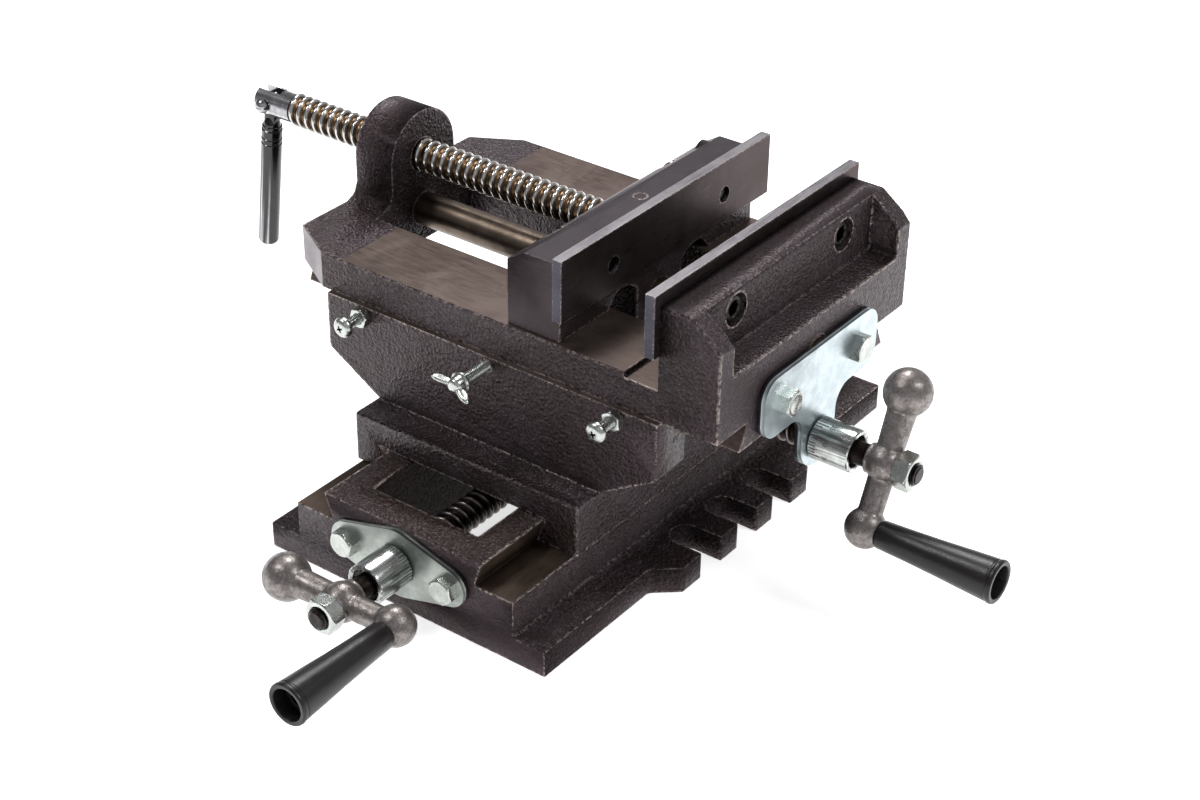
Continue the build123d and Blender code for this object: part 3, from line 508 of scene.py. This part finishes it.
# ---------------------------------------------------------------- castings and plates from their CAD shapes
def rebuilt(node, body, materials, surface, widths, segments=3, cuts=()):
    """A CAD node's shape with rounded edges. materials holds a material for each kind of surface,
    surface(centre, normal) names the kind of a face, widths(first, second) gives the rounding between two
    kinds, in millimetres, and cuts are values of X where a machined area begins within a flat face."""
    kinds = list(materials)
    mesh = cad_mesh(node)
    bmesh.ops.recalc_face_normals(mesh, faces=mesh.faces)
    bmesh.ops.dissolve_limit(mesh, angle_limit=math.radians(0.4), verts=mesh.verts, edges=mesh.edges)
    for place in cuts:
        bmesh.ops.bisect_plane(mesh, geom=mesh.verts[:] + mesh.edges[:] + mesh.faces[:], dist=1e-3,
                               plane_co=(place, 0, 0), plane_no=(1, 0, 0))
    mesh.normal_update()
    for face in mesh.faces:
        face.material_index = kinds.index(surface(face.calc_center_median(), face.normal))
    weight = mesh.edges.layers.float.new("bevel_weight_edge")
    widest = max(widths(a, b) for a in kinds for b in kinds)
    for edge in mesh.edges:
        edge.smooth = True
        if len(edge.link_faces) != 2:
            continue
        if edge.calc_face_angle(0.0) > math.radians(28):
            width = widths(*(kinds[face.material_index] for face in edge.link_faces))
            shortest = min(min(side.calc_length() for side in face.edges) for face in edge.link_faces)
            if edge.calc_length() > 2.2 * width and shortest > 0.9 * width:
                edge[weight] = width / widest
            else:
                edge.smooth = False
    made = piece(node + "_shape", mesh, body, list(materials.values()), replaces=node, sharp=180)
    bevel = made.modifiers.new("rounded edges", "BEVEL")
    bevel.limit_method = "WEIGHT"
    bevel.width = widest * MM
    bevel.segments = segments
    bevel.use_clamp_overlap = False
    bevel.miter_outer = "MITER_ARC"
    normals = made.modifiers.new("flat faces", "WEIGHTED_NORMAL")
    normals.keep_sharp = True
    normals.weight = 80
    return made


def round_rule(*machined):
    """Cast edges are rounded widely; an edge of a machined kind of surface stays crisp."""
    def widths(first, second):
        return 0.35 if first in machined or second in machined else 1.1
    return widths


def even(width):
    """The same rounding everywhere."""
    return lambda first, second: width


WINDOW_HALF = 31.0                          # the base's window with its walls, from the middle
SADDLE_WAY_Y, SADDLE_WAY_X = 52.0, 42.0     # half widths that hold the saddle's two dovetails
WAY_DEPTH = 10.5                            # height of a dovetail in the saddle
RAIL_START = low("vise_body_casting").x + 29.5
RAIL_END = 80.0                             # the jaws slide between these two values of X
RAIL_LOW, RAIL_HIGH = 91.8, 96.8            # heights that hold the tops of the rails and nothing else
DOVETAIL_TOP = 82.1                         # below this, the vise body is only its dovetail
CORNER_DEPTH, CORNER_TOP = 20.0, 97.0       # the ground corners at the boss end
JAW_TOP = 120.0                             # above this, only the top of the fixed jaw faces up


def base_surface(centre, normal):
    lowest, highest = low("base_casting"), high("base_casting")
    if normal.z > 0.9 and centre.z > highest.z - 0.5:
        return "top"
    if normal.y < -0.9 and centre.y < lowest.y + 12:
        return "front"
    if abs(centre.x - (lowest.x + highest.x) / 2) < WINDOW_HALF and centre.z > 1.0 and normal.z > -0.9:
        return "window"
    if centre.z > low("saddle_casting").z - 1.0 and abs(normal.y) < 0.5:
        return "way"
    return "underside" if normal.z < -0.9 and centre.z < 0.5 else "cast"


def saddle_surface(centre, normal):
    top = high("saddle_casting").z
    upper = centre.z > top - WAY_DEPTH and abs(normal.x) < 0.5 and abs(centre.y) < SADDLE_WAY_Y
    lower = centre.z < low("y_gib").z + WAY_DEPTH and abs(normal.y) < 0.5 and abs(centre.x) < SADDLE_WAY_X
    return "way" if centre.z > top - 0.5 or upper or lower else "cast"


def body_surface(centre, normal):
    lowest, highest = low("vise_body_casting"), high("vise_body_casting")
    if centre.x > highest.x - 0.5:
        return "end"
    if normal.z > 0.9 and RAIL_LOW < centre.z < RAIL_HIGH and RAIL_START < centre.x < RAIL_END:
        return "way"
    if centre.z < DOVETAIL_TOP and abs(normal.x) < 0.5:
        return "way"
    slanting = abs(normal.x) > 0.3 and abs(normal.y) > 0.3
    if slanting and centre.x < lowest.x + CORNER_DEPTH and centre.z < CORNER_TOP:
        return "corner"
    if centre.x < lowest.x + 0.5:
        return "end"
    return "jaw top" if normal.z > 0.9 and centre.z > JAW_TOP else "cast"


def jaw_surface(centre, normal):
    lowest, highest = low("moving_jaw_casting"), high("moving_jaw_casting")
    if normal.z > 0.5 and centre.z > highest.z - 6:
        return "top"
    if normal.y < -0.9 and centre.y < lowest.y + 1 or normal.y > 0.9 and centre.y > highest.y - 1:
        return "side"
    return "seat" if normal.x > 0.9 and centre.x > highest.x - 1 else "cast"


def plate_surface(centre, normal):
    if abs(normal.x) > 0.9:
        return "face"
    return "end" if abs(normal.y) > 0.9 else "edge"


# the window's walls take the copy of the cast iron with painted shade
rebuilt("base_casting", "base",
        {"cast": CAST, "way": GROUND_DARK, "underside": GROUND_JAW, "top": CAST_DARK, "front": CAST_FINE,
         "window": CAST_IN_SHADOW}, base_surface, round_rule("way", "underside"))
rebuilt("saddle_casting", "saddle", {"cast": CAST, "way": GROUND_RAIL},
        saddle_surface, round_rule("way"))
rebuilt("vise_body_casting", "vise_body",
        {"cast": CAST, "way": GROUND_RAIL, "jaw top": CAST_FINE, "end": CAST_FINE, "corner": GROUND_CORNER},
        body_surface, round_rule("way", "end", "corner"), cuts=(RAIL_START,))
rebuilt("moving_jaw_casting", "moving_jaw",
        {"cast": CAST, "top": GROUND_JAW, "side": GROUND_SIDE, "seat": CAST_FINE},
        jaw_surface, round_rule("top", "side", "seat"))
for jaw, body in (("fixed", "vise_body"), ("moving", "moving_jaw")):
    rebuilt(f"{jaw}_jaw_plate", body, {"face": JAW_FACE, "edge": JAW_EDGE, "end": JAW_END},
            plate_surface, even(0.3), 2)
for feed, body, plated in (("x", "vise_body", ZINC_PLATE), ("y", "base", ZINC_OLD)):
    rebuilt(f"{feed}_bracket_plate", body, {"plated": plated}, lambda centre, normal: "plated",
            even(0.5))

# ---------------------------------------------------------------- cross feeds: collar, screw, crank, grip
JOURNAL, LEAD, COLLAR = 4.2, 6.0, 7.9       # radii of the screw's journal, its thread and the collar
HUB_REACH, NUT_SEAT = 27.5, 32.8            # along the screw, from the crank joint's place
GRIP_REACH, BRACKET_BOLT_SPREAD = 23.6, 22.6    # from the screw's axis
COLLAR_LENGTH, GRIP_LENGTH = 16.0, 46.0
GRADUATIONS = 40


def graduated(line_half_width, depth, step):
    """Radius of the collar at an angle, where every step-th graduation line is cut into it."""
    def radius(angle):
        place = angle / math.tau * GRADUATIONS
        nearest = round(place)
        if nearest % step:
            return COLLAR
        off = abs(place - nearest) * math.tau / GRADUATIONS * COLLAR
        return COLLAR - depth * max(0.0, 1.0 - off / line_half_width)
    return radius


def collar(feed, matrix):
    every, long = graduated(0.26, 0.24, 1), graduated(0.26, 0.24, 5)
    start, end = 0.3, 0.3 + COLLAR_LENGTH
    rows = [(start, 4.3), (start, COLLAR - 0.7), (start + 0.25, COLLAR - 0.35), (start + 0.5, every),
            (start + 3.4, every), (start + 3.5, long), (start + 5.2, long), (start + 5.3, COLLAR),
            (end - 1.0, COLLAR), (end - 0.35, COLLAR - 0.12), (end, COLLAR - 0.5), (end, COLLAR - 1.7),
            (end - 0.4, COLLAR - 2.0), (end - 5.0, COLLAR - 2.0), (end - 5.0, 4.3)]
    mesh = turned(bmesh.new(), rows, GRADUATIONS * 10, closed=True)
    made = piece(f"{feed}_collar", mesh, f"{feed}_screw", ZINC_TURNED, matrix,
                 f"{feed}_graduated_collar")
    hole = turned(bmesh.new(), [(0.0, 0.0), (0.0, 2.05), (12.0, 2.05), (12.0, 0.0)], 24)
    bmesh.ops.remove_doubles(hole, verts=hole.verts, dist=1e-4)
    middle = shifted(matrix, z=end - 7.5)
    carve(made, hole, middle @ Matrix.Rotation(math.radians(-90), 4, "Y"))


def collar_numbers(feed, matrix):
    """Generic numbers 0, 5, 10 ... round the collar, wrapped on its surface."""
    mesh = bmesh.new()
    for index in range(0, GRADUATIONS, 5):
        text = bpy.data.curves.new("number", "FONT")
        text.body = str(index)
        text.size = 2.6
        text.align_x = "CENTER"
        text.extrude = 0.02
        text.offset = 0.02
        holder = bpy.data.objects.new("number", text)
        flat = bpy.data.meshes.new_from_object(holder)
        letters = bmesh.new()
        letters.from_mesh(flat)
        bmesh.ops.subdivide_edges(letters, edges=[e for e in letters.edges if e.calc_length() > 0.6], cuts=2)
        for vertex in letters.verts:
            angle = math.tau * index / GRADUATIONS + vertex.co.x / COLLAR
            reach = COLLAR + vertex.co.z
            vertex.co = Vector((reach * math.cos(angle), reach * math.sin(angle), 6.6 + vertex.co.y))
        joined = bpy.data.meshes.new("number")
        letters.to_mesh(joined)
        letters.free()
        mesh.from_mesh(joined)
        bpy.data.objects.remove(holder)
    return piece(f"{feed}_collar_numbers", mesh, f"{feed}_screw", ENGRAVED, matrix)


def lead_screw(feed, matrix, inner):
    mesh = thread(bmesh.new(), LEAD, 1.5, 4.0, -inner - 3.2, -4.2)
    turned(mesh, [(-5.4, 0.0), (-5.4, LEAD), (-3.6, LEAD), (-3.2, LEAD - 0.4), (-3.2, JOURNAL),
                  (21.4, JOURNAL), (21.9, JOURNAL - 0.4), (22.0, 3.9), (NUT_SEAT + 1, 3.9),
                  (NUT_SEAT + 1, 0.0)])
    stub = thread(bmesh.new(), 3.95, 0.62, 1.25, NUT_SEAT - 1, NUT_SEAT + 7.6, 32)
    tip = NUT_SEAT + 8.0
    turned(stub, [(tip - 1.4, 0.0), (tip - 1.4, 3.4), (tip - 0.4, 3.35), (tip, 2.8), (tip, 0.0)])
    piece(f"{feed}_screw_shaft", mesh, f"{feed}_screw", FEED_THREAD, matrix,
          f"{feed}_lead_screw", 75)
    piece(f"{feed}_screw_stub", stub, f"{feed}_screw", BLACK, matrix)


def grip(feed, matrix):
    start, end = HUB_REACH + 6.1, HUB_REACH + 6.1 + GRIP_LENGTH
    rows = [(start, 3.1), (start, 4.6), (start + 0.15, 4.9), (start + 0.5, 5.1), (start + 12, 5.6),
            (start + 24, 6.3), (start + 34, 7.05), (end - 3.4, 7.6), (end - 2.9, 7.62), (end - 2.6, 7.42),
            (end - 2.2, 7.42), (end - 1.9, 7.75), (end - 1.4, 7.9), (end - 0.6, 7.88), (end - 0.2, 7.7),
            (end, 7.4), (end, 6.4), (end - 0.2, 6.05), (end - 0.6, 5.9), (end - 9.0, 5.9), (end - 9.0, 3.1)]
    mesh = turned(bmesh.new(), rows, 56, closed=True)
    piece(f"{feed}_grip_sleeve", mesh, f"{feed}_grip", GRIP, shifted(matrix, x=GRIP_REACH),
          f"{feed}_grip")
    seat = end - 8.8
    rows = [(HUB_REACH - 4, 0.0), (HUB_REACH - 4, 2.95), (seat, 2.95), (seat, 4.7), (seat + 0.2, 4.9),
            (seat + 4.0, 4.9), (seat + 4.4, 4.6), (seat + 4.5, 4.3), (seat + 4.5, hexagonal(4.2)),
            (seat + 4.4, hexagonal(4.0)), (seat + 2.0, hexagonal(4.0)), (seat + 1.8, 0.0)]
    bolt = turned(bmesh.new(), rows, 48)
    piece(f"{feed}_grip_screw", bolt, f"{feed}_screw", BLACK, shifted(matrix, x=GRIP_REACH),
          f"{feed}_grip_bolt")


def crank(feed):
    """The crank's CAD shape, with its balls and arms blended and its skin made uneven."""
    arm = finished(f"{feed}_crank_arm", CRANK)
    arm.data.shade_smooth()
    weld = arm.modifiers.new("weld", "WELD")
    weld.merge_threshold = 0.01 * MM
    blend = arm.modifiers.new("blend", "REMESH")
    blend.mode = "VOXEL"
    blend.voxel_size = 0.36 * MM
    blend.use_smooth_shade = True
    soften = arm.modifiers.new("soften", "SMOOTH")
    soften.factor = 0.6
    soften.iterations = 3
    lumps = bpy.data.textures.new(f"{feed}_crank_lumps", "CLOUDS")
    lumps.noise_scale = 4.0 * MM
    lumps.noise_depth = 2
    uneven = arm.modifiers.new("uneven", "DISPLACE")
    uneven.texture = lumps
    uneven.strength = 0.14 * MM
    uneven.mid_level = 0.62


def crank_nut(feed, matrix):
    mesh = nut(bmesh.new(), 12.2, NUT_SEAT, 6.2, 3.97)
    piece(f"{feed}_hub_nut", mesh, f"{feed}_screw", ZINC, matrix, f"{feed}_crank_nut")


for feed, out, along, holder, inner in (("x", (1, 0, 0), (0, 1, 0), "vise_body", 138.0),
                                        ("y", (0, -1, 0), (1, 0, 0), "base", 175.0)):
    face = joint_place(f"{feed}_crank_turn")
    spin = joint_place(f"{feed}_grip_spin")
    arm = spin - face - Vector(out) * HUB_REACH
    matrix = placed(face, out, arm)
    collar(feed, matrix)
    collar_numbers(feed, matrix)
    lead_screw(feed, matrix, inner)
    grip(feed, matrix)
    crank(feed)
    crank_nut(feed, matrix)
    centre = (low(f"{feed}_bracket_bolts") + high(f"{feed}_bracket_bolts")) / 2
    seat = placed((face.x, centre.y, centre.z) if feed == "x" else (0, face.y, centre.z), out, along)
    for sign, name in ((-1, "a"), (1, "b")):
        head = bolt_head(bmesh.new(), 9.2, 0.0, 4.0, 2.95, 13.0)
        turn = Matrix.Rotation(math.radians(17 if sign < 0 else 41), 4, "Z")
        made = piece(f"{feed}_bracket_bolt_{name}", head, holder, ZINC,
                     shifted(seat, x=sign * BRACKET_BOLT_SPREAD) @ turn)
        if sign < 0:
            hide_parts(f"{feed}_bracket_bolts")
    finished(f"{feed}_collar_grub_screw", BLACK)


# ---------------------------------------------------------------- cap screws of the fixed jaw
def cap_screw(name, matrix, head_radius, head_height, across_flats):
    """Socket cap head with a knurled skirt; matrix sits at the seat of the head."""
    def skirt(angle):
        return head_radius - 0.14 * (math.cos(36 * angle) > 0)
    top = head_height
    rows = [(-9.0, 0.0), (-9.0, 2.4), (-8.4, 2.95), (0.0, 2.95), (0.0, head_radius - 0.3), (0.3, skirt),
            (top - 1.3, skirt), (top - 1.1, head_radius - 0.1), (top - 0.45, head_radius - 0.2),
            (top - 0.15, head_radius - 0.45), (top, head_radius - 0.9), (top, across_flats * 0.62),
            (top - 0.35, hexagonal(across_flats)), (top * 0.45, hexagonal(across_flats)), (top * 0.35, 0.0)]
    return piece(name, turned(bmesh.new(), rows, 144), "vise_body", BLACK, matrix)


near, far = low("fixed_jaw_screws"), high("fixed_jaw_screws")
cap_radius = (far.z - near.z) / 2
for name, side in (("fixed_jaw_screw_a", near.y + cap_radius), ("fixed_jaw_screw_b", far.y - cap_radius)):
    seat = placed((far.x - 6.0, side, (near.z + far.z) / 2), (1, 0, 0), (0, 1, 0))
    made = cap_screw(name, seat, cap_radius, 6.0, 5.0)
    if name.endswith("a"):
        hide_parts("fixed_jaw_screws")


# ---------------------------------------------------------------- gib screws, lock nuts and wing screws
M4, M4_DEPTH, M4_PITCH = 2.0, 0.36, 0.7
PAN_BLADES = (20, 110)                      # degrees of the two slots that make the cross recess
GIB_SHANK = 22.0
WING_LEAN = 25                              # degrees that a wing stands up from the flange


def gib_screw(name, matrix, length, body):
    """Pan head with a cross recess on a threaded shank; matrix sits at the seat of the head."""
    shank = thread(bmesh.new(), M4, M4_DEPTH, M4_PITCH, 0.3 - length, -0.1, 24)
    turned(shank, [(-length - 0.4, 0.0), (-length - 0.4, 1.1), (-length + 0.7, 1.6),
                   (-length + 0.7, 0.0)], 24)
    piece(name + "_shank", shank, body, ZINC, matrix)
    mesh = turned(bmesh.new(), [(-0.6, 0.0), (-0.6, 1.9), (0.0, 2.0), (0.0, 3.6), (0.15, 3.85), (0.5, 3.9),
                                (1.3, 3.85), (1.9, 3.6), (2.4, 3.1), (2.75, 2.4), (2.95, 1.4),
                                (3.0, 0.0)], 48)
    made = piece(name, mesh, body, ZINC, matrix)
    for turn in PAN_BLADES:
        blade = box_mesh(bmesh.new(), (3.9, 0.95, 3.2), (0, 0, 3.0))
        for vertex in blade.verts:
            if vertex.co.z < 3.0:
                vertex.co.x *= 0.35
                vertex.co.y *= 0.6
        carve(made, blade, matrix @ Matrix.Rotation(math.radians(turn), 4, "Z"))
    return made


def lock_nut(name, matrix, turn, body):
    mesh = nut(bmesh.new(), 7.0, 0.0, 3.2, 2.03)
    return piece(name, mesh, body, ZINC, matrix @ Matrix.Rotation(math.radians(turn), 4, "Z"))


def gib_set(axis, node, out, spread, distance, seat, nut_seat):
    """Two adjusting screws with lock nuts along one side of the saddle."""
    middle = (low(f"{node}_gib_screws") + high(f"{node}_gib_screws")) / 2
    for sign, name in ((-1, "a"), (1, "b")):
        at = middle.copy()
        at[axis] = seat
        frame_here = placed(at + Vector(spread) * sign * distance, out, spread)
        screw = gib_screw(f"{node}_gib_screw_{name}", frame_here, GIB_SHANK, "saddle")
        at[axis] = nut_seat
        nut_frame = placed(at + Vector(spread) * sign * distance, out, spread)
        locked = lock_nut(f"{node}_gib_nut_{name}", nut_frame, 12 if sign < 0 else 35, "saddle")
        if sign < 0:
            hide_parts(f"{node}_gib_screws")
            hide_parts(f"{node}_gib_lock_nuts")


gib_set(1, "x", (0, -1, 0), (1, 0, 0), 56.3, low("x_gib_screws").y + 3.0, high("x_gib_lock_nuts").y)
gib_set(0, "y", (-1, 0, 0), (0, 1, 0), 45.0, low("y_gib_screws").x + 3.0, high("y_gib_lock_nuts").x)


def wing_screw(node, body, matrix, shank, wing_angle):
    """Stamped wing screw: threaded shank, flange, domed hub and two curled wings."""
    mesh = thread(bmesh.new(), M4, M4_DEPTH, M4_PITCH, 0.9, shank + 0.1, 24)
    turned(mesh, [(0.0, 0.0), (0.0, 1.0), (1.2, 1.62), (1.2, 0.0)], 24)
    turned(mesh, [(shank, 0.0), (shank, 3.6), (shank + 0.15, 3.9), (shank + 0.7, 3.9), (shank + 0.9, 3.6),
                  (shank + 1.2, 3.15), (shank + 3.4, 2.95), (shank + 4.4, 2.6), (shank + 4.9, 1.9),
                  (shank + 5.1, 0.9), (shank + 5.1, 0.0)], 48)
    for side in (-1, 1):
        lobe = [(-0.62, 0.0), (-0.72, 1.6), (-0.78, 2.5), (-0.68, 3.05), (-0.38, 3.45), (0.0, 3.6),
                (0.38, 3.45), (0.68, 3.05), (0.78, 2.5), (0.72, 1.6), (0.62, 0.0)]
        # the lobe is turned flat, stretched along the wing and stood on edge in the wing's plane
        lean = (Matrix.Rotation(math.radians(wing_angle), 3, "Z")
                @ Matrix.Rotation(math.radians(-WING_LEAN * side), 3, "Y"))
        stand = lean @ Matrix.Rotation(math.radians(90), 3, "X") @ Matrix.Diagonal((1.2, 0.5, 1.0))
        reach = lean @ Vector((side * 5.0, 0, 0))
        turned(mesh, lobe, 36, offset=reach + Vector((0, 0, shank + 2.4)), axis=stand)
    return piece(f"{node}_wing", mesh, body, ZINC, matrix, node, sharp=50)


tip = Vector((joint_place("x_lock_turn").x, high("x_lock_screw").y, joint_place("x_lock_turn").z))
wing_screw("x_lock_screw", "x_lock", placed(tip, (0, -1, 0), (1, 0, 0)), 25.5, -19)
tip = Vector((high("y_lock_screw").x, joint_place("y_lock_turn").y, joint_place("y_lock_turn").z))
wing_screw("y_lock_screw", "y_lock", placed(tip, (-1, 0, 0), (0, 1, 0)), 24.0, 35)

# ---------------------------------------------------------------- clamp screw, handle and guide rod
pivot = joint_place("handle_swing")
screw_high = high("clamp_screw")
axis_frame = placed((0, pivot.y, pivot.z), (1, 0, 0), (0, 1, 0))
HEAD_END = pivot.x + 12.8                   # where the screw's forked head meets its thread
CLAMP = 6.45                                # radius of the screw
HANDLE_TILT, HANDLE_LENGTH, HANDLE = math.radians(7.0), 65.0, 4.2

mesh = thread(bmesh.new(), CLAMP, 1.55, 4.0, HEAD_END - 0.5, screw_high.x - 9.0, 72)
nose = screw_high.x
turned(mesh, [(nose - 9.6, 0.0), (nose - 9.6, 6.0), (nose - 9.2, CLAMP), (nose - 8.8, CLAMP),
              (nose - 8.8, 4.0), (nose - 3.2, 4.0), (nose - 3.2, CLAMP), (nose - 0.5, CLAMP), (nose, 5.9),
              (nose, 0.0)])
piece("clamp_thread", mesh, "clamp_screw", CLAMP_THREAD, axis_frame, "clamp_screw", 75)

head = cad_mesh("clamp_screw")
bmesh.ops.bisect_plane(head, geom=head.verts[:] + head.edges[:] + head.faces[:], dist=1e-4,
                       plane_co=(HEAD_END - 0.02, 0, 0), plane_no=(1, 0, 0), clear_outer=True)
bmesh.ops.holes_fill(head, edges=[edge for edge in head.edges if len(edge.link_faces) == 1])
bmesh.ops.dissolve_limit(head, angle_limit=math.radians(0.4), verts=head.verts, edges=head.edges)
fork = piece("clamp_fork", head, "clamp_screw", CHROME_HEAD)
round_off = fork.modifiers.new("rounded edges", "BEVEL")
round_off.width = 0.45 * MM
round_off.segments = 3
round_off.angle_limit = math.radians(40)

sine, cosine = math.sin(HANDLE_TILT), math.cos(HANDLE_TILT)
hanging = placed(pivot, (sine, 0, cosine), (cosine, 0, -sine))
rows = [(-HANDLE_LENGTH, 0.0), (-HANDLE_LENGTH, 2.6), (-HANDLE_LENGTH + 0.25, 3.3),
        (-HANDLE_LENGTH + 0.9, 3.9), (-HANDLE_LENGTH + 1.9, HANDLE), (-18.5, HANDLE),
        (-18.2, HANDLE - 0.35), (-17.6, HANDLE - 0.35), (-17.3, HANDLE), (-16.2, HANDLE),
        (-15.9, HANDLE - 0.35), (-15.3, HANDLE - 0.35), (-15.0, HANDLE),
        (-12.4, HANDLE), (-12.0, HANDLE - 0.5), (-11.4, HANDLE - 0.5), (-11.1, HANDLE - 0.1),
        (-10.6, HANDLE - 0.2), (-10.3, HANDLE - 0.7), (-8.6, 3.2), (-7.4, 2.4), (-6.8, 0.0)]
mesh = turned(bmesh.new(), rows, 48)
across = Matrix.Rotation(math.radians(90), 3, "X")
turned(mesh, [(-2.05, 1.9), (-2.05, 3.5), (-1.6, 3.95), (1.6, 3.95), (2.05, 3.5), (2.05, 1.9)], 40,
       closed=True, axis=across)
neck = box_mesh(bmesh.new(), (5.6, 4.0, 6.4), (0, 0, -5.9))
bmesh.ops.bevel(neck, geom=neck.edges[:], offset=0.5, segments=2, profile=0.5, affect="EDGES")
joined = bpy.data.meshes.new("neck")
neck.to_mesh(joined)
neck.free()
mesh.from_mesh(joined)
piece("handle_bar", mesh, "handle", CHROME, hanging, "clamp_handle")

cheek = 6.0
rows = [(-cheek - 2.7, 0.0), (-cheek - 2.6, 0.9), (-cheek - 2.1, 1.9), (-cheek - 1.2, 2.75),
        (-cheek - 0.3, 3.1), (-cheek, 2.9), (-cheek, 1.75)]
rows += [(-height, radius) for height, radius in reversed(rows)]
piece("handle_pin", turned(bmesh.new(), rows, 40), "clamp_screw", CHROME_HEAD,
      placed(pivot, (0, 1, 0), (1, 0, 0)), "handle_rivet")

rod_low, rod_high = low("guide_rod"), high("guide_rod")
rod_radius = (rod_high.z - rod_low.z) / 2
middle = (rod_low + rod_high) / 2
rows = [(rod_low.x, 0.0), (rod_low.x, rod_radius - 0.7), (rod_low.x + 0.6, rod_radius),
        (rod_high.x - 0.6, rod_radius), (rod_high.x, rod_radius - 0.7), (rod_high.x, 0.0)]
piece("guide_bar", turned(bmesh.new(), rows, 64), "vise_body", ROD,
      placed((0, middle.y, middle.z), (1, 0, 0), (0, 1, 0)), "guide_rod")

# ---------------------------------------------------------------- finishes of the CAD nodes that stay
for material, names in ((GROUND_RAIL, "x_gib y_gib"), (GROUND_JAW, "thrust_pin"),
                        (BRONZE, "x_feed_nut y_feed_nut"),
                        (BLACK, "x_feed_nut_screws y_feed_nut_screws moving_jaw_screws")):
    for name in names.split():
        finished(name, material)

# ---------------------------------------------------------------- floor, light and camera
floor_mesh = bmesh.new()
bmesh.ops.create_grid(floor_mesh, x_segments=2, y_segments=2, size=6.0)
floor_data = bpy.data.meshes.new("floor")
floor_mesh.to_mesh(floor_data)
floor_mesh.free()
floor = bpy.data.objects.new("floor", floor_data)
scene.collection.objects.link(floor)
paper = Finish("paper", roughness=0.9)
white = paper.mix(paper.noise(400.0), (0.90, 0.90, 0.905), (0.93, 0.93, 0.935))
floor_data.materials.append(paper.done(white))
paper.put(paper.shader.inputs["Emission Color"], (1.0, 1.0, 1.0))
paper.put(paper.shader.inputs["Emission Strength"], 0.72)

world = bpy.data.worlds.new("studio")
scene.world = world
world.use_nodes = True
sky = world.node_tree
background = sky.nodes["Background"]
direction = sky.nodes.new("ShaderNodeTexCoord")
panels = sky.nodes.new("ShaderNodeTexNoise")
panels.inputs["Scale"].default_value = 1.3
panels.inputs["Detail"].default_value = 0.0
fade = sky.nodes.new("ShaderNodeValToRGB")
sky.links.new(direction.outputs["Generated"], panels.inputs["Vector"])
sky.links.new(panels.outputs[0], fade.inputs["Fac"])
sky.links.new(fade.outputs["Color"], background.inputs["Color"])
stops = fade.color_ramp.elements
stops[0].position, stops[0].color = 0.44, (0.30, 0.30, 0.32, 1.0)
stops[1].position, stops[1].color = 0.56, (0.80, 0.81, 0.84, 1.0)
background.inputs["Strength"].default_value = 0.65


def softbox(name, place, target, width, height, power):
    light = bpy.data.lights.new(name, "AREA")
    light.shape = "RECTANGLE"
    light.size, light.size_y = width, height
    light.energy = power
    holder = bpy.data.objects.new(name, light)
    scene.collection.objects.link(holder)
    holder.location = place
    holder.rotation_euler = (Vector(target) - Vector(place)).to_track_quat("-Z", "Y").to_euler()


softbox("key", (-0.7, -0.6, 1.5), (0, 0, 0.06), 0.45, 0.45, 10.0)
softbox("top", (-0.5, 0.7, 1.4), (0, 0, 0.06), 0.6, 0.6, 18.0)
softbox("side", (1.1, 0.3, 1.3), (-0.05, 0, 0.08), 0.4, 0.5, 8.0)

camera_data = bpy.data.cameras.new("camera")
camera_data.lens = 68.3
camera_data.sensor_width = 36.0
camera_data.clip_start = 0.01
camera = bpy.data.objects.new("camera", camera_data)
scene.collection.objects.link(camera)
right = Vector((0.8007, 0.5989, 0.0125)).normalized()
back = Vector((0.5032, -0.6838, 0.5284)).normalized()
up = back.cross(right).normalized()
camera.matrix_world = Matrix((right, up, back)).transposed().to_4x4()
camera.location = Vector((433.5, -583.8, 485.55)) * MM
scene.camera = camera
scene.view_settings.view_transform = "Standard"

bpy.context.view_layer.update()
